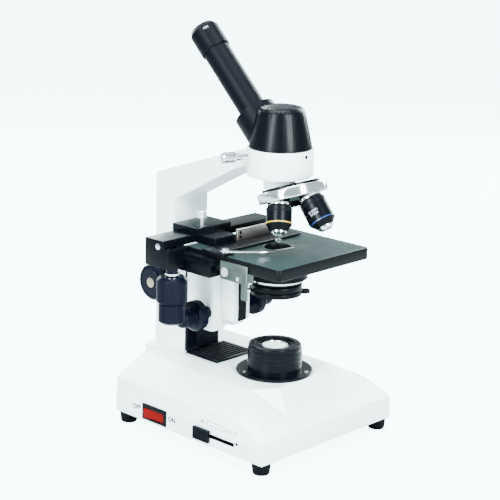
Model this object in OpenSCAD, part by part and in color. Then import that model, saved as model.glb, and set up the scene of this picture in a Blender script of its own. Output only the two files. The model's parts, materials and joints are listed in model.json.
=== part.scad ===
// Monocular student microscope with a lamp in its base and a mechanical stage.
// Millimetres, +Z up, the column stands towards +Y, the feet rest on z = 0.

/* [Base] */
// Width of the base across the foot of its skirt
base_w = 182; // [168:1:225]
// Length of the base from its front edge to its back face
base_l = 196; // [184:1:240]
// Height of the base's flat deck above the table
deck_z = 62; // [58:1:75]
// Wall of the base casting
base_wall = 3; // [2:0.5:4]
// Height of the rubber feet
foot_h = 11; // [8:1:15]
// Radius of a rubber foot
foot_r = 9; // [7:0.5:10]
// Width of the boss behind the base that carries the column
boss_w = 70; // [56:1:90]

/* [Lamp] */
// Radius of the lamp's mounting flange
flange_r = 36.6; // [32:0.1:38]
// Radius of the lamp's drum
drum_r = 26.1; // [22:0.1:28]
// Height of the drum's top above the deck
drum_h = 28; // [22:1:33]
// Radius of the lamp window
window_r = 12.5; // [9:0.5:15]

/* [Controls] */
// Width of the power rocker
rocker_w = 27; // [22:1:32]
// Height of the power rocker
rocker_h = 9.6; // [8:0.1:11.6]
// Travel of the dimmer knob
dimmer_travel = 29; // [18:1:32]

/* [Column] */
// Width of the column and arm
column_w = 44; // [38:1:52]
// Depth of the column at its foot
column_d = 42.5; // [38:0.5:50]
// Height of the head ring's underside
ring_z = 253; // [245:1:304]
// Height of the head ring
ring_h = 26; // [22:1:31]
// Radius of the head ring
ring_r = 31; // [29:0.5:37]
// Distance from the column's back to the optical axis
reach = 143.5; // [138:0.5:150]

/* [Focus] */
// Radius of the coarse focus shaft
shaft_r = 4; // [3:0.1:5]
// Radius of the coarse focus knobs
coarse_r = 18; // [14:0.5:20]
// Radius of the fine focus knob's disc
fine_r = 14.8; // [11:0.1:17]
// Tooth module of the coarse rack and pinion
tooth_m = 1; // [0.9:0.05:1.1]
// Width of the focus housing
housing_w = 46; // [42:1:50]

/* [Stage] */
// Width of the stage plate
stage_w = 124.8; // [104:0.2:150]
// Length of the stage plate
stage_l = 119.7; // [100:0.1:143]
// Thickness of the stage plate
stage_t = 11.1; // [8:0.1:13.4]
// Height of the stage's top face
stage_z = 184.9; // [182:0.1:186]
// Radius of the upper stage knob
stage_knob_r = 14.8; // [12:0.1:17]

/* [Condenser] */
// Radius of the condenser body
condenser_r = 25; // [20:0.5:28]
// Radius of the condenser's top lens
condenser_lens_r = 9; // [7:0.5:11]

/* [Nosepiece] */
// Radius of the revolving nosepiece's knurled rim
turret_r = 32.7; // [31:0.1:34]
// Tilt of the nosepiece axis from the optical axis
turret_tilt = 20; // [18:1:22]
// Radius of the circle that carries the objectives
objective_ring_r = 19.5; // [18.5:0.1:20.5]
// Radius of an objective's barrel
barrel_r = 11.9; // [10:0.1:12.4]

/* [Head] */
// Outer diameter of the eyepiece tube
tube_d = 26; // [21.5:0.1:31.5]
// Length of the eyepiece tube, measured from the prism
tube_l = 120.5; // [100:0.5:145]
// Angle of the eyepiece tube above the horizontal
tube_angle = 45; // [40:1:50]

/* [Fits] */
// Radial clearance of a running fit
run = 0.05; // [0.02:0.01:0.09]
// Gap between faces that slide past each other
gap = 0.3; // [0.2:0.05:0.5]

/* [Hidden] */
$fn = 96;

// Plan: the optical axis is at y = axis_y, the column's back face at column_back.
axis_y = -27;
column_back = axis_y + reach;
column_front = column_back - column_d;
base_back = 98;
base_front = base_back - base_l;
boss_back = column_back + 3.5;
centre_y = (base_front + boss_back) / 2;
plate_t = 2;
skin = base_wall;
half_w = base_w / 2;

// Base outline: the deck's block under the lamp and the long side slopes.
block_y = axis_y - flange_r + 0.6;
block_x = 33;
rim_x = half_w - 35;
rim_y = block_y + 14;
block_foot_z = deck_z - 24.5;
side_z = deck_z - 17.5;
nose_z = deck_z - 29;
side_lean = 1.5;

// Feet, screws and side controls
foot_x = half_w - foot_r;
foot_y0 = base_front + foot_r;
foot_y1 = base_back - foot_r;
screw_r = 2;
rocker_y = 43.6;
bezel_w = rocker_w + 6;
bezel_h = rocker_h + 6.4;
pin_r = 1.5;
control_z = foot_h + 10;
bezel_y = 43;
rocker_z = control_z - 1.2;
side_x = half_w - side_lean * (control_z - foot_h) / (side_z - foot_h);
dimmer_y = -22.8;
dimmer_knob_l = 20;
dimmer_slot_y = dimmer_y - dimmer_travel - dimmer_knob_l / 2 - 1;

// Column, rail and coarse focus
column_x = column_w / 2;
column_wall = 5;
arm_z = ring_z + ring_h;
arm_slope = 0.3465;
rail_t = 3.7;
rail_front = column_front - rail_t;
housing_back = rail_front - gap;
housing_front = housing_back - 35;
coarse_z = deck_z + 71;
pinion_teeth = 14;
pinion_r = pinion_teeth * tooth_m / 2;
coarse_y = column_back - 22;
rack_pitch_y = coarse_y - pinion_r;
knob_in = column_x + gap + 0.5;
coarse_x = knob_in + 13.2;
coarse_w = 14;
housing_z0 = deck_z + 29;
housing_z1 = deck_z + 88;
web_z0 = deck_z + 60;
web_z1 = deck_z + 86;
slot_z0 = deck_z + 42;
slot_z1 = deck_z + 92;

// Fine focus
fine_y = housing_front + 5.6;
fine_z = deck_z + 48;
fine_hub_r = 6;
slide_back = housing_front - gap;
slide_front = slide_back - 16.7;
slide_z0 = deck_z + 40;
slide_z1 = deck_z + 86;
slide_x = 11;

// Stage and its bracket
stage_x = stage_w / 2;
stage_back = 33;
stage_front = stage_back - stage_l;
stage_under = stage_z - stage_t;
cheek_x = stage_x - 18.4;
cheek_t = 3;
back_t = 6;
side_t = 2;
side_y1 = axis_y + 11.5;
side_screw_y = axis_y + 6;

// Mechanical stage
arm_x0 = -stage_x - 3.6;
arm_x1 = arm_x0 + 14.5;
riser_x0 = -stage_x + 0.5;
riser_x1 = arm_x1;
bar_z0 = stage_z + 0.6;
bar_z1 = bar_z0 + 7.5;
bar_y0 = 34;
bar_y1 = 58;
knob_x = -stage_x - 13.6;
knob_y = 36;
lower_knob_r = stage_knob_r - 2;
fine_end_x = -knob_x - lower_knob_r - 2 * gap;
block_x0 = knob_x - 14;
block_x1 = -stage_x - gap;
y_module = 0.8;
y_teeth = 16;
y_pinion_r = y_teeth * y_module / 2;
y_rack_x = knob_x + y_pinion_r;
y_rack_z0 = stage_under + 0.8;
y_rack_h = 6;
drum_x_r = 6;
drum_x_h = 1.8;
drum_x_z = y_rack_z0 + y_rack_h + 0.8;
holder_z = stage_z + 0.5;
holder_t = 2.2;
finger_t = 1.2;
holder_front = axis_y + 14;
holder_back = axis_y + 35;
carriage_x0 = -48;
carriage_x1 = -20;
saddle_x0 = -50;
saddle_x1 = -5;
saddle_z = bar_z1 + 6;

// Condenser, under the stage's aperture
aperture_r = 13;
condenser_z0 = stage_under - 28.7;
filter_pin_x = 0.72 * (condenser_r + 3.6);
filter_pin_y = axis_y + 0.7 * (condenser_r + 3.6);

// Nosepiece: its centre is at turret_cy, turret_cz, and the seats are seat_t below that on its axis.
seat_t = 4;
turret_cy = axis_y - objective_ring_r * cos(turret_tilt) + seat_t * sin(turret_tilt);
turret_cz = ring_z - 15;
barrel_start = 7;

// Head and eyepiece tube
prism_z = arm_z - 5;
tube_r = tube_d / 2;
tube_wall = 1.4;
collar_r = tube_r + 7;
collar_end = 47.5;
stem_r = ring_r - 9;
cone_r = ring_r - 1.5;
eyecap_l = 27;

// Places a piece so that the whole object's footprint is centred on the origin.
module place() {
  translate([0, -centre_y, 0]) children();
}

// Box given by its lowest and highest corners
module block(low, high) {
  translate(low) cube(high - low);
}

// Cylinder along X from x0 to x1
module rod_x(x0, x1, y, z, r) {
  translate([x0, y, z]) rotate([0, 90, 0]) cylinder(r = r, h = x1 - x0);
}

// Outline in the YZ plane, given a thickness along X and centred on x = 0
module side_plate(width, points) {
  translate([-width / 2, 0, 0]) rotate([90, 0, 90]) linear_extrude(width) polygon(points);
}

// Outline of a spur gear: four corners a tooth, the first tooth centred on +X
module gear_outline(teeth, m) {
  r = teeth * m / 2;
  corners = [[-0.8, -1.15], [-0.32, 0.9], [0.32, 0.9], [0.8, -1.15]];
  polygon([for (i = [0 : teeth - 1], c = corners)
    let (rr = r + c[1] * m, a = 360 * i / teeth + c[0] * m / rr * 180 / PI)
    rr * [cos(a), sin(a)]]);
}

// Outline of a rack along +Y with teeth pointing to -X: pitch line at x = 0, a gap centred on y = 0
module rack_outline(y0, y1, m, back) {
  pitch = PI * m;
  first = ceil(y0 / pitch + 0.1);
  last = floor(y1 / pitch - 1.1);
  teeth = [for (i = [first : last], c = [[-0.85, 1.15], [-0.32, -0.9], [0.32, -0.9], [0.85, 1.15]])
    [c[1] * m, (i + 0.5) * pitch + c[0] * m]];
  polygon(concat([[back, y0], [1.15 * m, y0]], teeth, [[1.15 * m, y1], [back, y1]]));
}

// ---------- Base ----------

// The base's faceted outer form, drawn in by t on every face and dropped by low
module base_form(t, low) {
  w = half_w - t;
  y0 = base_front + t;
  y1 = base_back - t;
  nose_w = w - side_lean * (nose_z - foot_h) / (side_z - foot_h);
  edge_w = w - side_lean;
  nose = nose_z - t;
  edge = side_z - t;
  top = deck_z - t;
  foot = block_foot_z - t;
  half = [[w, y0, foot_h - low], [w, y1, foot_h - low], [nose_w, y0, nose],
    [edge_w, y0 + 32, edge], [edge_w, y1, edge], [rim_x - t / 2, rim_y + t, top],
    [rim_x - t / 2, y1, top], [block_x - t / 3, block_y + t, top], [block_x, block_y - 12 + t, foot]];
  points = concat(half, [for (p = half) [-p[0], p[1], p[2]]]);
  side = [[0, 1, 4, 3, 2], [3, 4, 6, 5], [2, 3, 5], [2, 5, 8], [5, 7, 8]];
  mirrored = [for (f = side) [for (i = [len(f) - 1 : -1 : 0]) f[i] + 9]];
  across = [[0, 9, 10, 1], [9, 0, 2, 11], [1, 10, 13, 15, 6, 4], [11, 2, 8, 17], [17, 8, 7, 16],
    [16, 7, 5, 6, 15, 14]];
  polyhedron(points, [for (f = concat(side, mirrored, across)) [for (i = [len(f) - 1 : -1 : 0]) f[i]]]);
}

// Rounded block behind the base, under the column's back
module boss_form(t, low) {
  corner = 5 - t / 2;
  for (x = [-1, 1]) {
    translate([x * (boss_w / 2 - t - corner), boss_back - t - corner, foot_h - low])
      cylinder(r = corner, h = deck_z - t - foot_h + low);
  }
  block([-boss_w / 2 + t, base_back - 8, foot_h - low], [boss_w / 2 - t, boss_back - t - corner, deck_z - t]);
  block([-boss_w / 2 + t + corner, base_back - 8, foot_h - low],
    [boss_w / 2 - t - corner, boss_back - t, deck_z - t]);
}

module foot_places() {
  for (x = [-foot_x, foot_x], y = [foot_y0, foot_y1]) translate([x, y, 0]) children();
}

module base_casting() {
  color("white") place() difference() {
    union() {
      difference() {
        union() {
          base_form(0, 0);
          boss_form(0, 0);
        }
        base_form(skin, 1);
        boss_form(skin, 1);
      }
      intersection() {
        foot_places() translate([0, 0, foot_h + plate_t]) cylinder(r = 6, h = deck_z);
        base_form(skin / 2, 0);
      }
    }
    foot_places() translate([0, 0, foot_h]) cylinder(r = screw_r + run, h = 12);
    translate([0, axis_y, deck_z - skin - 2]) cylinder(r = drum_r - 4, h = 20);
    block([-26, 27, deck_z - skin - 2], [26, 65, deck_z + 1]);
    for (x = [-12, 12]) translate([x, column_back - 12, deck_z - 20]) cylinder(r = 3 + gap, h = 30);
    block([-side_x - 6, rocker_y - rocker_w / 2 - 1, rocker_z - rocker_h / 2 - 1],
      [-side_x + 8, rocker_y + rocker_w / 2 + 1, rocker_z + rocker_h / 2 + 1]);
    block([-side_x - 6, dimmer_slot_y, control_z - 2],
      [-side_x + 8, dimmer_y + dimmer_knob_l / 2 + 1, control_z + 2]);
    block([-14, boss_back - skin - 2, foot_h + 12], [14, boss_back + 1, foot_h + 34]);
  }
}

// Steel plate that closes the base from below
module bottom_plate() {
  play = 0.5;
  color("dimgray") place() difference() {
    union() {
      block([-half_w + skin + play, base_front + skin + play, foot_h],
        [half_w - skin - play, base_back - skin - play, foot_h + plate_t]);
      block([-boss_w / 2 + skin + play, base_back - 10, foot_h],
        [boss_w / 2 - skin - play, boss_back - skin - play - 5, foot_h + plate_t]);
    }
    foot_places() translate([0, 0, foot_h - 1]) cylinder(r = screw_r + run, h = plate_t + 2);
    for (x = [-40 : 10 : -10], y = [-60, -45]) block([x, y, foot_h - 1], [x + 5, y + 10, foot_h + 4]);
  }
}

module feet() {
  color("black") place() foot_places() difference() {
    union() {
      cylinder(r = foot_r - 1.5, h = 1);
      translate([0, 0, 1]) cylinder(r1 = foot_r - 1, r2 = foot_r, h = foot_h - 1);
    }
    translate([0, 0, -1]) cylinder(r = 4.5, h = 6);
    cylinder(r = screw_r + run, h = foot_h + 1);
  }
}

module foot_screws() {
  color("silver") place() foot_places() union() {
    translate([0, 0, 2.5]) cylinder(r = 4, h = 2.5);
    translate([0, 0, 4.9]) cylinder(r = screw_r, h = foot_h + 5);
  }
}

// Cooling grille in the deck, its bars across X
module vent_plate() {
  color("black") place() difference() {
    union() {
      block([-26.5, 24, deck_z], [26.5, 68, deck_z + 1.5]);
      block([-25.5, 27.5, deck_z - 2], [25.5, 64.5, deck_z]);
    }
    for (y = [28.5 : 4.5 : 62]) block([-23, y, deck_z - 3], [23, y + 2.4, deck_z + 2]);
  }
}

module lamp_housing() {
  top = deck_z + drum_h;
  color("black") place() translate([0, axis_y, 0]) rotate_extrude() polygon([
    [drum_r - 4, deck_z], [flange_r - 0.6, deck_z], [flange_r, deck_z + 0.6], [flange_r, deck_z + 2.4],
    [flange_r - 0.6, deck_z + 3], [drum_r, deck_z + 3], [drum_r, top - 5], [drum_r - 1, top - 4],
    [drum_r - 1, top - 1], [drum_r - 2, top], [window_r + 6.5, top], [window_r + 6.5, top - 1.5],
    [window_r + 3, top - 1.5], [window_r + 3, top - 2.5], [window_r, top - 2.5], [window_r, top - 4],
    [window_r - 1.5, top - 4], [window_r - 1.5, top - 6], [drum_r - 4, top - 6]]);
}

module lamp_window() {
  color("white") place() translate([0, axis_y, deck_z + drum_h - 4])
    cylinder(r = window_r - run, h = 1.6);
}

// Holder hung under the deck, its flange against the deck's underside
module lamp_holder() {
  color("ivory") place() translate([0, axis_y, 0]) difference() {
    union() {
      translate([0, 0, deck_z - skin - 2]) cylinder(r = drum_r, h = 2);
      translate([0, 0, deck_z - 24]) cylinder(r = 9, h = 24);
    }
    translate([0, 0, deck_z - 8]) cylinder(r = 5, h = 20);
  }
}

module lamp_bulb() {
  color("lightyellow") place() translate([0, axis_y, 0]) {
    translate([0, 0, deck_z - 8]) cylinder(r = 5 - run, h = 10);
    translate([0, 0, deck_z + 8]) sphere(r = 8);
  }
}

module transformer() {
  low = foot_h + plate_t;
  color("gray") place() {
    difference() {
      block([16, 26, low], [52, 66, low + 30]);
      block([10, 33, low + 8], [58, 59, low + 22]);
    }
    block([12, 33.2, low + 8.2], [56, 58.8, low + 21.8]);
  }
}

// Upright board with the slide potentiometer behind the dimmer's slot
module dimmer_board() {
  x = -side_x + skin + 7;
  color("green") place() {
    block([x, dimmer_slot_y - 4, foot_h + plate_t], [x + 1.6, dimmer_y + 14, foot_h + 20]);
    difference() {
      block([x - 5, dimmer_slot_y + 1, control_z - 5], [x, dimmer_y + 9, control_z + 5]);
      block([x - 6, dimmer_slot_y + 3, control_z - 1.5], [x - 3, dimmer_y + 7, control_z + 1.5]);
    }
  }
}

module mains_inlet() {
  z = foot_h + 23;
  color("black") place() difference() {
    block([-14, boss_back - 18, z - 11], [14, boss_back - 0.5, z + 11]);
    difference() {
      block([-11, boss_back - 14, z - 8], [11, boss_back, z + 8]);
      block([-8.5, boss_back - 15, z - 5.5], [8.5, boss_back - 1.5, z + 5.5]);
    }
    for (x = [-5, 0, 5]) rotate([-90, 0, 0]) translate([x, -z, boss_back - 12]) cylinder(r = 1, h = 12);
  }
}

// ---------- Controls on the side ----------

module switch_bezel() {
  face = -side_x - 1.2;
  color("black") place() difference() {
    union() {
      block([face, bezel_y - bezel_w / 2, control_z - bezel_h / 2],
        [-side_x - 0.45, bezel_y + bezel_w / 2, control_z + bezel_h / 2]);
      block([-side_x - 0.5, rocker_y - rocker_w / 2 - 0.9, rocker_z - rocker_h / 2 - 0.9],
        [-side_x + 16, rocker_y + rocker_w / 2 + 0.9, rocker_z + rocker_h / 2 + 0.9]);
    }
    block([face - 1, rocker_y - rocker_w / 2, rocker_z - rocker_h / 2],
      [-side_x + 13, rocker_y + rocker_w / 2, rocker_z + rocker_h / 2]);
    rocker_pin(pin_r + run, 1.2);
  }
}

// Pin on which the rocker tilts, reaching that far past its opening above and below
module rocker_pin(r, past) {
  translate([-side_x + 4, rocker_y, rocker_z - rocker_h / 2 - past])
    cylinder(r = r, h = rocker_h + 2 * past);
}

// Rocker with two flats meeting in a shallow ridge, resting on its OFF end
module rocker() {
  half = rocker_w / 2 - gap - 0.2;
  color("red") place() union() {
    translate([-side_x + 4, rocker_y, rocker_z - rocker_h / 2 + gap])
      rotate([0, 0, 5]) linear_extrude(rocker_h - 2 * gap)
      polygon([[-4.2, 0], [-5.4, half], [-1, half], [3, 4], [3, -4], [-1, -half], [-5.4, -half]]);
    rocker_pin(pin_r, 0.7);
  }
}

// Sliding knob with a stem that reaches the potentiometer
module dimmer_knob() {
  color("black") place() translate([-side_x - 1.2, dimmer_y, control_z]) {
    difference() {
      block([-3.4, -dimmer_knob_l / 2, -6], [0, dimmer_knob_l / 2, 6]);
      for (y = [-7.5 : 2.5 : 7.5]) block([-4, y - 0.5, -7], [-2.8, y + 0.5, 7]);
    }
    block([-0.1, -2.5, -1.2], [7.5, 2.5, 1.2]);
  }
}

// ---------- Column and arm ----------

module ring_place(z) {
  translate([0, axis_y, z]) children();
}

// Moves to the nosepiece's centre and turns +Z down along its axis
module turret_axis() {
  translate([0, turret_cy, turret_cz]) rotate([180 - turret_tilt, 0, 0]) children();
}

// Column, arm and head ring in one casting
module arm() {
  top_back = arm_z - 0.6 - arm_slope * (column_back - axis_y - 22);
  under = top_back - 24;
  color("white") place() difference() {
    union() {
      side_plate(column_w, [[column_front, deck_z], [column_back, deck_z], [column_back, top_back],
        [axis_y + 20, arm_z - 0.4], [axis_y + 20, ring_z + 9], [axis_y + 37, ring_z + 3.4],
        [column_front + 15.5, under + 1], [column_front + 15.5, deck_z + 118],
        [column_front + 14, deck_z + 112], [column_front, deck_z + 103]]);
      ring_place(ring_z) cylinder(r = ring_r - 1.5, h = 1.5);
      ring_place(ring_z + 1.5) cylinder(r = ring_r, h = ring_h - 1.5);
      ring_place(ring_z - 12) cylinder(r = 15, h = 13);
    }
    // Seat for the head's stem, and the light path below it
    ring_place(ring_z + 6) cylinder(r = stem_r + run, h = ring_h);
    ring_place(ring_z - 14) cylinder(r = 9, h = 30);
    turret_axis() translate([0, 0, -9]) cylinder(r = 60, h = 40);
    // Space for the rack and pinion, with the slot for the rack's web
    block([-column_x + column_wall, column_front + column_wall, deck_z + 12],
      [column_x - column_wall, column_back - column_wall, deck_z + 98]);
    block([-3 - gap, column_front - 1, slot_z0], [3 + gap, column_front + 6, slot_z1]);
    rod_x(-column_w, column_w, coarse_y, coarse_z, shaft_r + 2.5);
    for (x = [-12, 12]) translate([x, column_back - 12, deck_z - 1]) cylinder(r = 3 + run, h = 10);
    clamp_axis() cylinder(r = 2.5 + run, h = ring_r + 5);
  }
}

module clamp_axis() {
  translate([0, axis_y, arm_z - 6]) rotate([0, 0, 180 - 21.5]) rotate([0, 90, 0]) children();
}

module column_bolts() {
  color("silver") place() for (x = [-12, 12]) translate([x, column_back - 12, 0]) {
    translate([0, 0, deck_z - skin - 4]) cylinder(r = 5, h = 4);
    translate([0, 0, deck_z - skin - 0.1]) cylinder(r = 3, h = 10);
  }
}

// Dovetail of the focus slide, g wider all round for the groove that runs on it
module dovetail(g, z0, z1) {
  y = rail_front;
  translate([0, 0, z0]) linear_extrude(z1 - z0)
    polygon([[-11 - g, y + 1], [-14.5 - g, y - 6 - g], [14.5 + g, y - 6 - g], [11 + g, y + 1]]);
}

module column_rail() {
  color("black") place() difference() {
    union() {
      block([-column_x, rail_front, deck_z], [column_x, column_front, deck_z + 98]);
      dovetail(0, deck_z + 4, deck_z + 96);
    }
    block([-3 - gap, rail_front - 12, slot_z0], [3 + gap, column_front + 1, slot_z1]);
  }
}

module shaft_bushes() {
  color("gold") place() for (x = [-column_x, column_x - column_wall]) difference() {
    rod_x(x, x + column_wall, coarse_y, coarse_z, shaft_r + 2.45);
    rod_x(x - 1, x + column_wall + 1, coarse_y, coarse_z, shaft_r + run);
  }
}

// ---------- Focus ----------

module focus_housing() {
  x = housing_w / 2;
  corner = 4;
  color("white") place() difference() {
    union() {
      block([-x + corner, housing_front, housing_z0], [x - corner, housing_back, housing_z1]);
      block([-x, housing_front + corner, housing_z0], [x, housing_back, housing_z1]);
      for (s = [-1, 1]) translate([s * (x - corner), housing_front + corner, housing_z0])
        cylinder(r = corner, h = housing_z1 - housing_z0);
    }
    dovetail(gap, housing_z0 - 1, housing_z1 + 1);
    block([-6 - gap, housing_front - 1, housing_z0 - 1], [6 + gap, housing_front + 5.5, housing_z1 + 1]);
    rod_x(-x - 1, x + 1, fine_y, fine_z, shaft_r - 0.5 + run);
    // Room for the lever that carries the fine motion to the slide
    block([-12, housing_front + 10, housing_z0 + 10], [12, rail_front - 10, housing_z1 - 12]);
  }
}

// Coarse rack on a web that reaches through the column's slot to the housing
module coarse_rack() {
  color("silver") place() union() {
    block([-3, rail_front - 6 - gap, web_z0], [3, rack_pitch_y - 5, web_z1]);
    translate([-5, rack_pitch_y, coarse_z]) rotate([90, 0, 90]) linear_extrude(10)
      rotate([0, 180, 0]) rack_outline(-13, 26, tooth_m, 6);
  }
}

module coarse_shaft() {
  color("silver") place() union() {
    rod_x(-coarse_x - 10, coarse_x + 10, coarse_y, coarse_z, shaft_r);
    translate([-6, coarse_y, coarse_z]) rotate([0, 90, 0]) linear_extrude(12)
      rotate(270) gear_outline(pinion_teeth, tooth_m);
  }
}

module coarse_knobs() {
  color("black") place() for (s = [0, 1]) mirror([s, 0, 0]) difference() {
    translate([-coarse_x - coarse_w, coarse_y, coarse_z]) rotate([0, 90, 0]) rotate_extrude() polygon([
      [0, 0], [coarse_r - 5, 0], [coarse_r - 3, 1.2], [coarse_r, 2.4], [coarse_r, coarse_w - 1],
      [coarse_r - 1, coarse_w], [10, coarse_w], [10, coarse_x + coarse_w - knob_in],
      [0, coarse_x + coarse_w - knob_in]]);
    rod_x(-coarse_x - 10 - run, 0, coarse_y, coarse_z, shaft_r + run);
  }
}

module fine_shaft() {
  x = housing_w / 2;
  color("silver") place() rod_x(-x - 8, x + 8, fine_y, fine_z, shaft_r - 0.5);
}

module fine_knobs() {
  x0 = housing_w / 2 + 1;
  end = fine_end_x - x0;
  color("black") place() for (s = [0, 1]) mirror([s, 0, 0]) difference() {
    translate([-x0, fine_y, fine_z]) rotate([0, -90, 0]) rotate_extrude() polygon([
      [0, 0], [fine_hub_r, 0], [fine_hub_r, 11.5], [fine_r - 1, 11.5], [fine_r, 12.5], [fine_r, 19.5],
      [fine_r - 2.6, 22.5], [9, 24], [9, end - 2.8], [8, end - 0.8], [4, end - 0.8], [4, end], [0, end]]);
    rod_x(-x0 - 7 - run, 0, fine_y, fine_z, shaft_r - 0.5 + run);
  }
}

module fine_slide() {
  color("white") place() union() {
    block([-slide_x, slide_front, slide_z0], [slide_x, slide_back, stage_under - 2]);
    // The tongue stops clear of the fine shaft, with the fine travel to spare
    block([-6, slide_back - 0.1, fine_z + shaft_r + 2], [6, slide_back + 5, slide_z1]);
  }
}

module slide_strip() {
  color("black") place() block([-5, slide_front - 1.5, slide_z0], [5, slide_front, stage_under - 18.5]);
}

// ---------- Stage ----------

// Cheeks under the stage, joined by a wall that bolts to the fine slide. A tongue of the
// left cheek runs out under the stage and turns up and down along its left edge.
module stage_bracket() {
  low = stage_under - 15.5;
  side_x0 = -stage_x - side_t;
  side_y0 = axis_y - 22;
  color("silver") place() difference() {
    union() {
      block([-cheek_x, slide_front - back_t, low], [cheek_x, slide_front, stage_under]);
      block([-slide_x - 3, slide_front - back_t, stage_under - 18], [slide_x + 3, slide_front, low + 0.1]);
      for (s = [0, 1]) mirror([s, 0, 0])
        block([-cheek_x, axis_y - 9, low], [-cheek_x + cheek_t, slide_front, stage_under]);
      block([side_x0, axis_y - 18, stage_under - 2.5], [-cheek_x + cheek_t, axis_y - 4, stage_under]);
      block([side_x0, side_y0, stage_under - 10.2], [-stage_x, side_y1, stage_z - 4]);
      block([side_x0, side_y0, stage_under - 25], [-stage_x, side_y0 + 7, stage_under - 10]);
    }
    rod_x(side_x0 - 1, side_x0 + 1, side_screw_y, stage_under - 3.2, 4.6);
  }
}

// Screws that hold the bracket's side plate against the stage
module bracket_screws() {
  side_x0 = -stage_x - side_t;
  color("dimgray") place() {
    rod_x(side_x0, side_x0 + 1, side_screw_y, stage_under - 3.2, 4.4);
    rod_x(side_x0 - 0.6, side_x0, side_screw_y - 17, stage_under - 6.4, 2);
  }
}

module stage_plate() {
  corner = 4;
  color("black") place() difference() {
    union() {
      block([-stage_x + corner, stage_front, stage_under], [stage_x - corner, stage_back, stage_z]);
      block([-stage_x, stage_front + corner, stage_under], [stage_x, stage_back, stage_z]);
      for (s = [-1, 1]) translate([s * (stage_x - corner), stage_front + corner, stage_under])
        cylinder(r = corner, h = stage_t);
      // Rail under the left edge that guides the Y carriage
      block([arm_x0 + 5.5, -30, stage_under - 4.5], [arm_x0 + 9.5, 30, stage_under + 1]);
    }
    translate([0, axis_y, stage_under - 1]) cylinder(r = aperture_r, h = stage_t + 2);
    translate([0, axis_y, stage_under - 1]) cylinder(r = aperture_r + 6, h = 5);
  }
}

module stage_rack() {
  color("silver") place() translate([y_rack_x, knob_y, y_rack_z0]) linear_extrude(y_rack_h)
    rack_outline(-46, 26, y_module, -stage_x - y_rack_x);
}

// ---------- Mechanical stage ----------

module y_carriage() {
  top = stage_under - 0.5;
  color("black") place() difference() {
    union() {
      block([arm_x0, -3, top - 12.2], [arm_x1, 78, top]);
      block([riser_x0, 48, top - 0.1], [riser_x1, 74, bar_z0]);
    }
    block([arm_x0 + 5.2, -4, stage_under - 5], [arm_x0 + 9.8, 79, top]);
  }
}

// Bar along X behind the stage, with the block that houses both stage shafts
module cross_bar() {
  low = stage_under - 6.8;
  color("black") place() difference() {
    union() {
      block([block_x0, bar_y0, bar_z0], [58, bar_y1, bar_z1]);
      block([block_x0, bar_y0, low], [block_x1, bar_y1, bar_z0 + 0.1]);
      block([block_x0, knob_y - 9, low], [block_x1, bar_y0 + 0.1, stage_z + 0.1]);
    }
    translate([knob_x, knob_y, low - 1]) cylinder(r = 4.5 + run, h = 20);
    translate([knob_x, knob_y, y_rack_z0 - gap]) cylinder(r = y_pinion_r + 1.4, h = y_rack_h + 2 * gap);
    block([y_rack_x - 2, knob_y - 12, y_rack_z0 - gap],
      [block_x1 + 1, bar_y1 + 1, y_rack_z0 + y_rack_h + gap]);
    translate([knob_x, knob_y, low + 10])
      cylinder(r = drum_x_r + 0.5, h = drum_x_z + drum_x_h + gap - low - 10);
    // Seat against the Y carriage, which the bar's end block stands beside
    block([arm_x0, knob_y - 10, low - 1], [block_x1 + 1, bar_y1 + 1, stage_under - 0.5]);
  }
}

// Hollow shaft with the Y pinion, and the larger of the two coaxial knobs
module upper_stage_knob() {
  z0 = stage_under - 41.8;
  z1 = stage_under - 16.5;
  color("midnightblue") place() translate([knob_x, knob_y, 0]) difference() {
    union() {
      translate([0, 0, z0]) rotate_extrude() polygon([[0, 0], [stage_knob_r - 1, 0], [stage_knob_r, 1],
        [stage_knob_r, z1 - z0 - 2], [stage_knob_r - 3, z1 - z0], [0, z1 - z0]]);
      translate([0, 0, z1 - 0.1]) cylinder(r = 5.5, h = 9.3);
      translate([0, 0, z1]) cylinder(r = 4.5, h = y_rack_z0 - z1 + 0.1);
      translate([0, 0, y_rack_z0]) linear_extrude(y_rack_h) gear_outline(y_teeth, y_module);
    }
    translate([0, 0, z0 - 1]) cylinder(r = 2.5 + run, h = 80);
  }
}

// Inner shaft with the X drum, and the smaller knob at its foot
module lower_stage_knob() {
  z1 = stage_under - 42.1;
  z0 = z1 - 20;
  r = lower_knob_r;
  color("midnightblue") place() translate([knob_x, knob_y, 0]) {
    translate([0, 0, z0]) rotate_extrude()
      polygon([[0, 0], [r - 2, 0], [r, 2], [r, 19], [r - 1, 20], [0, 20]]);
    translate([0, 0, z1 - 0.1]) cylinder(r = 2.5, h = drum_x_z + 1 - z1);
    translate([0, 0, drum_x_z]) cylinder(r = drum_x_r, h = drum_x_h);
  }
}

// Saddle that rides on the cross bar, with a foot in front of it
module x_carriage() {
  color("black") place() union() {
    block([carriage_x0, holder_back, holder_z], [carriage_x1, bar_y0 - gap, bar_z1 + gap + 0.1]);
    block([saddle_x0, bar_y0 - 4, bar_z1 + gap], [saddle_x1, bar_y1 + gap + 5, saddle_z]);
    block([saddle_x0, bar_y1 + gap, bar_z0 + 1.5], [saddle_x1, bar_y1 + gap + 5, saddle_z - 1]);
  }
}

module slide_holder() {
  x0 = -stage_x - 3.6;
  color("black") place() union() {
    block([x0, holder_front, holder_z], [48, holder_back, holder_z + holder_t]);
    block([x0, holder_front - 8, holder_z], [x0 + 14, holder_front + 1, holder_z + holder_t]);
  }
}

module holder_upright() {
  color("rosybrown") place()
    block([-21, holder_back - 3, holder_z + holder_t], [46, holder_back, bar_z1 + 5]);
}

module thumb_screw() {
  color("silver") place() translate([-34, bar_y0 + 6, saddle_z]) {
    cylinder(r = 2, h = 6);
    translate([0, 0, 5.9]) cylinder(r = 4.2, h = 8);
  }
}

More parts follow.
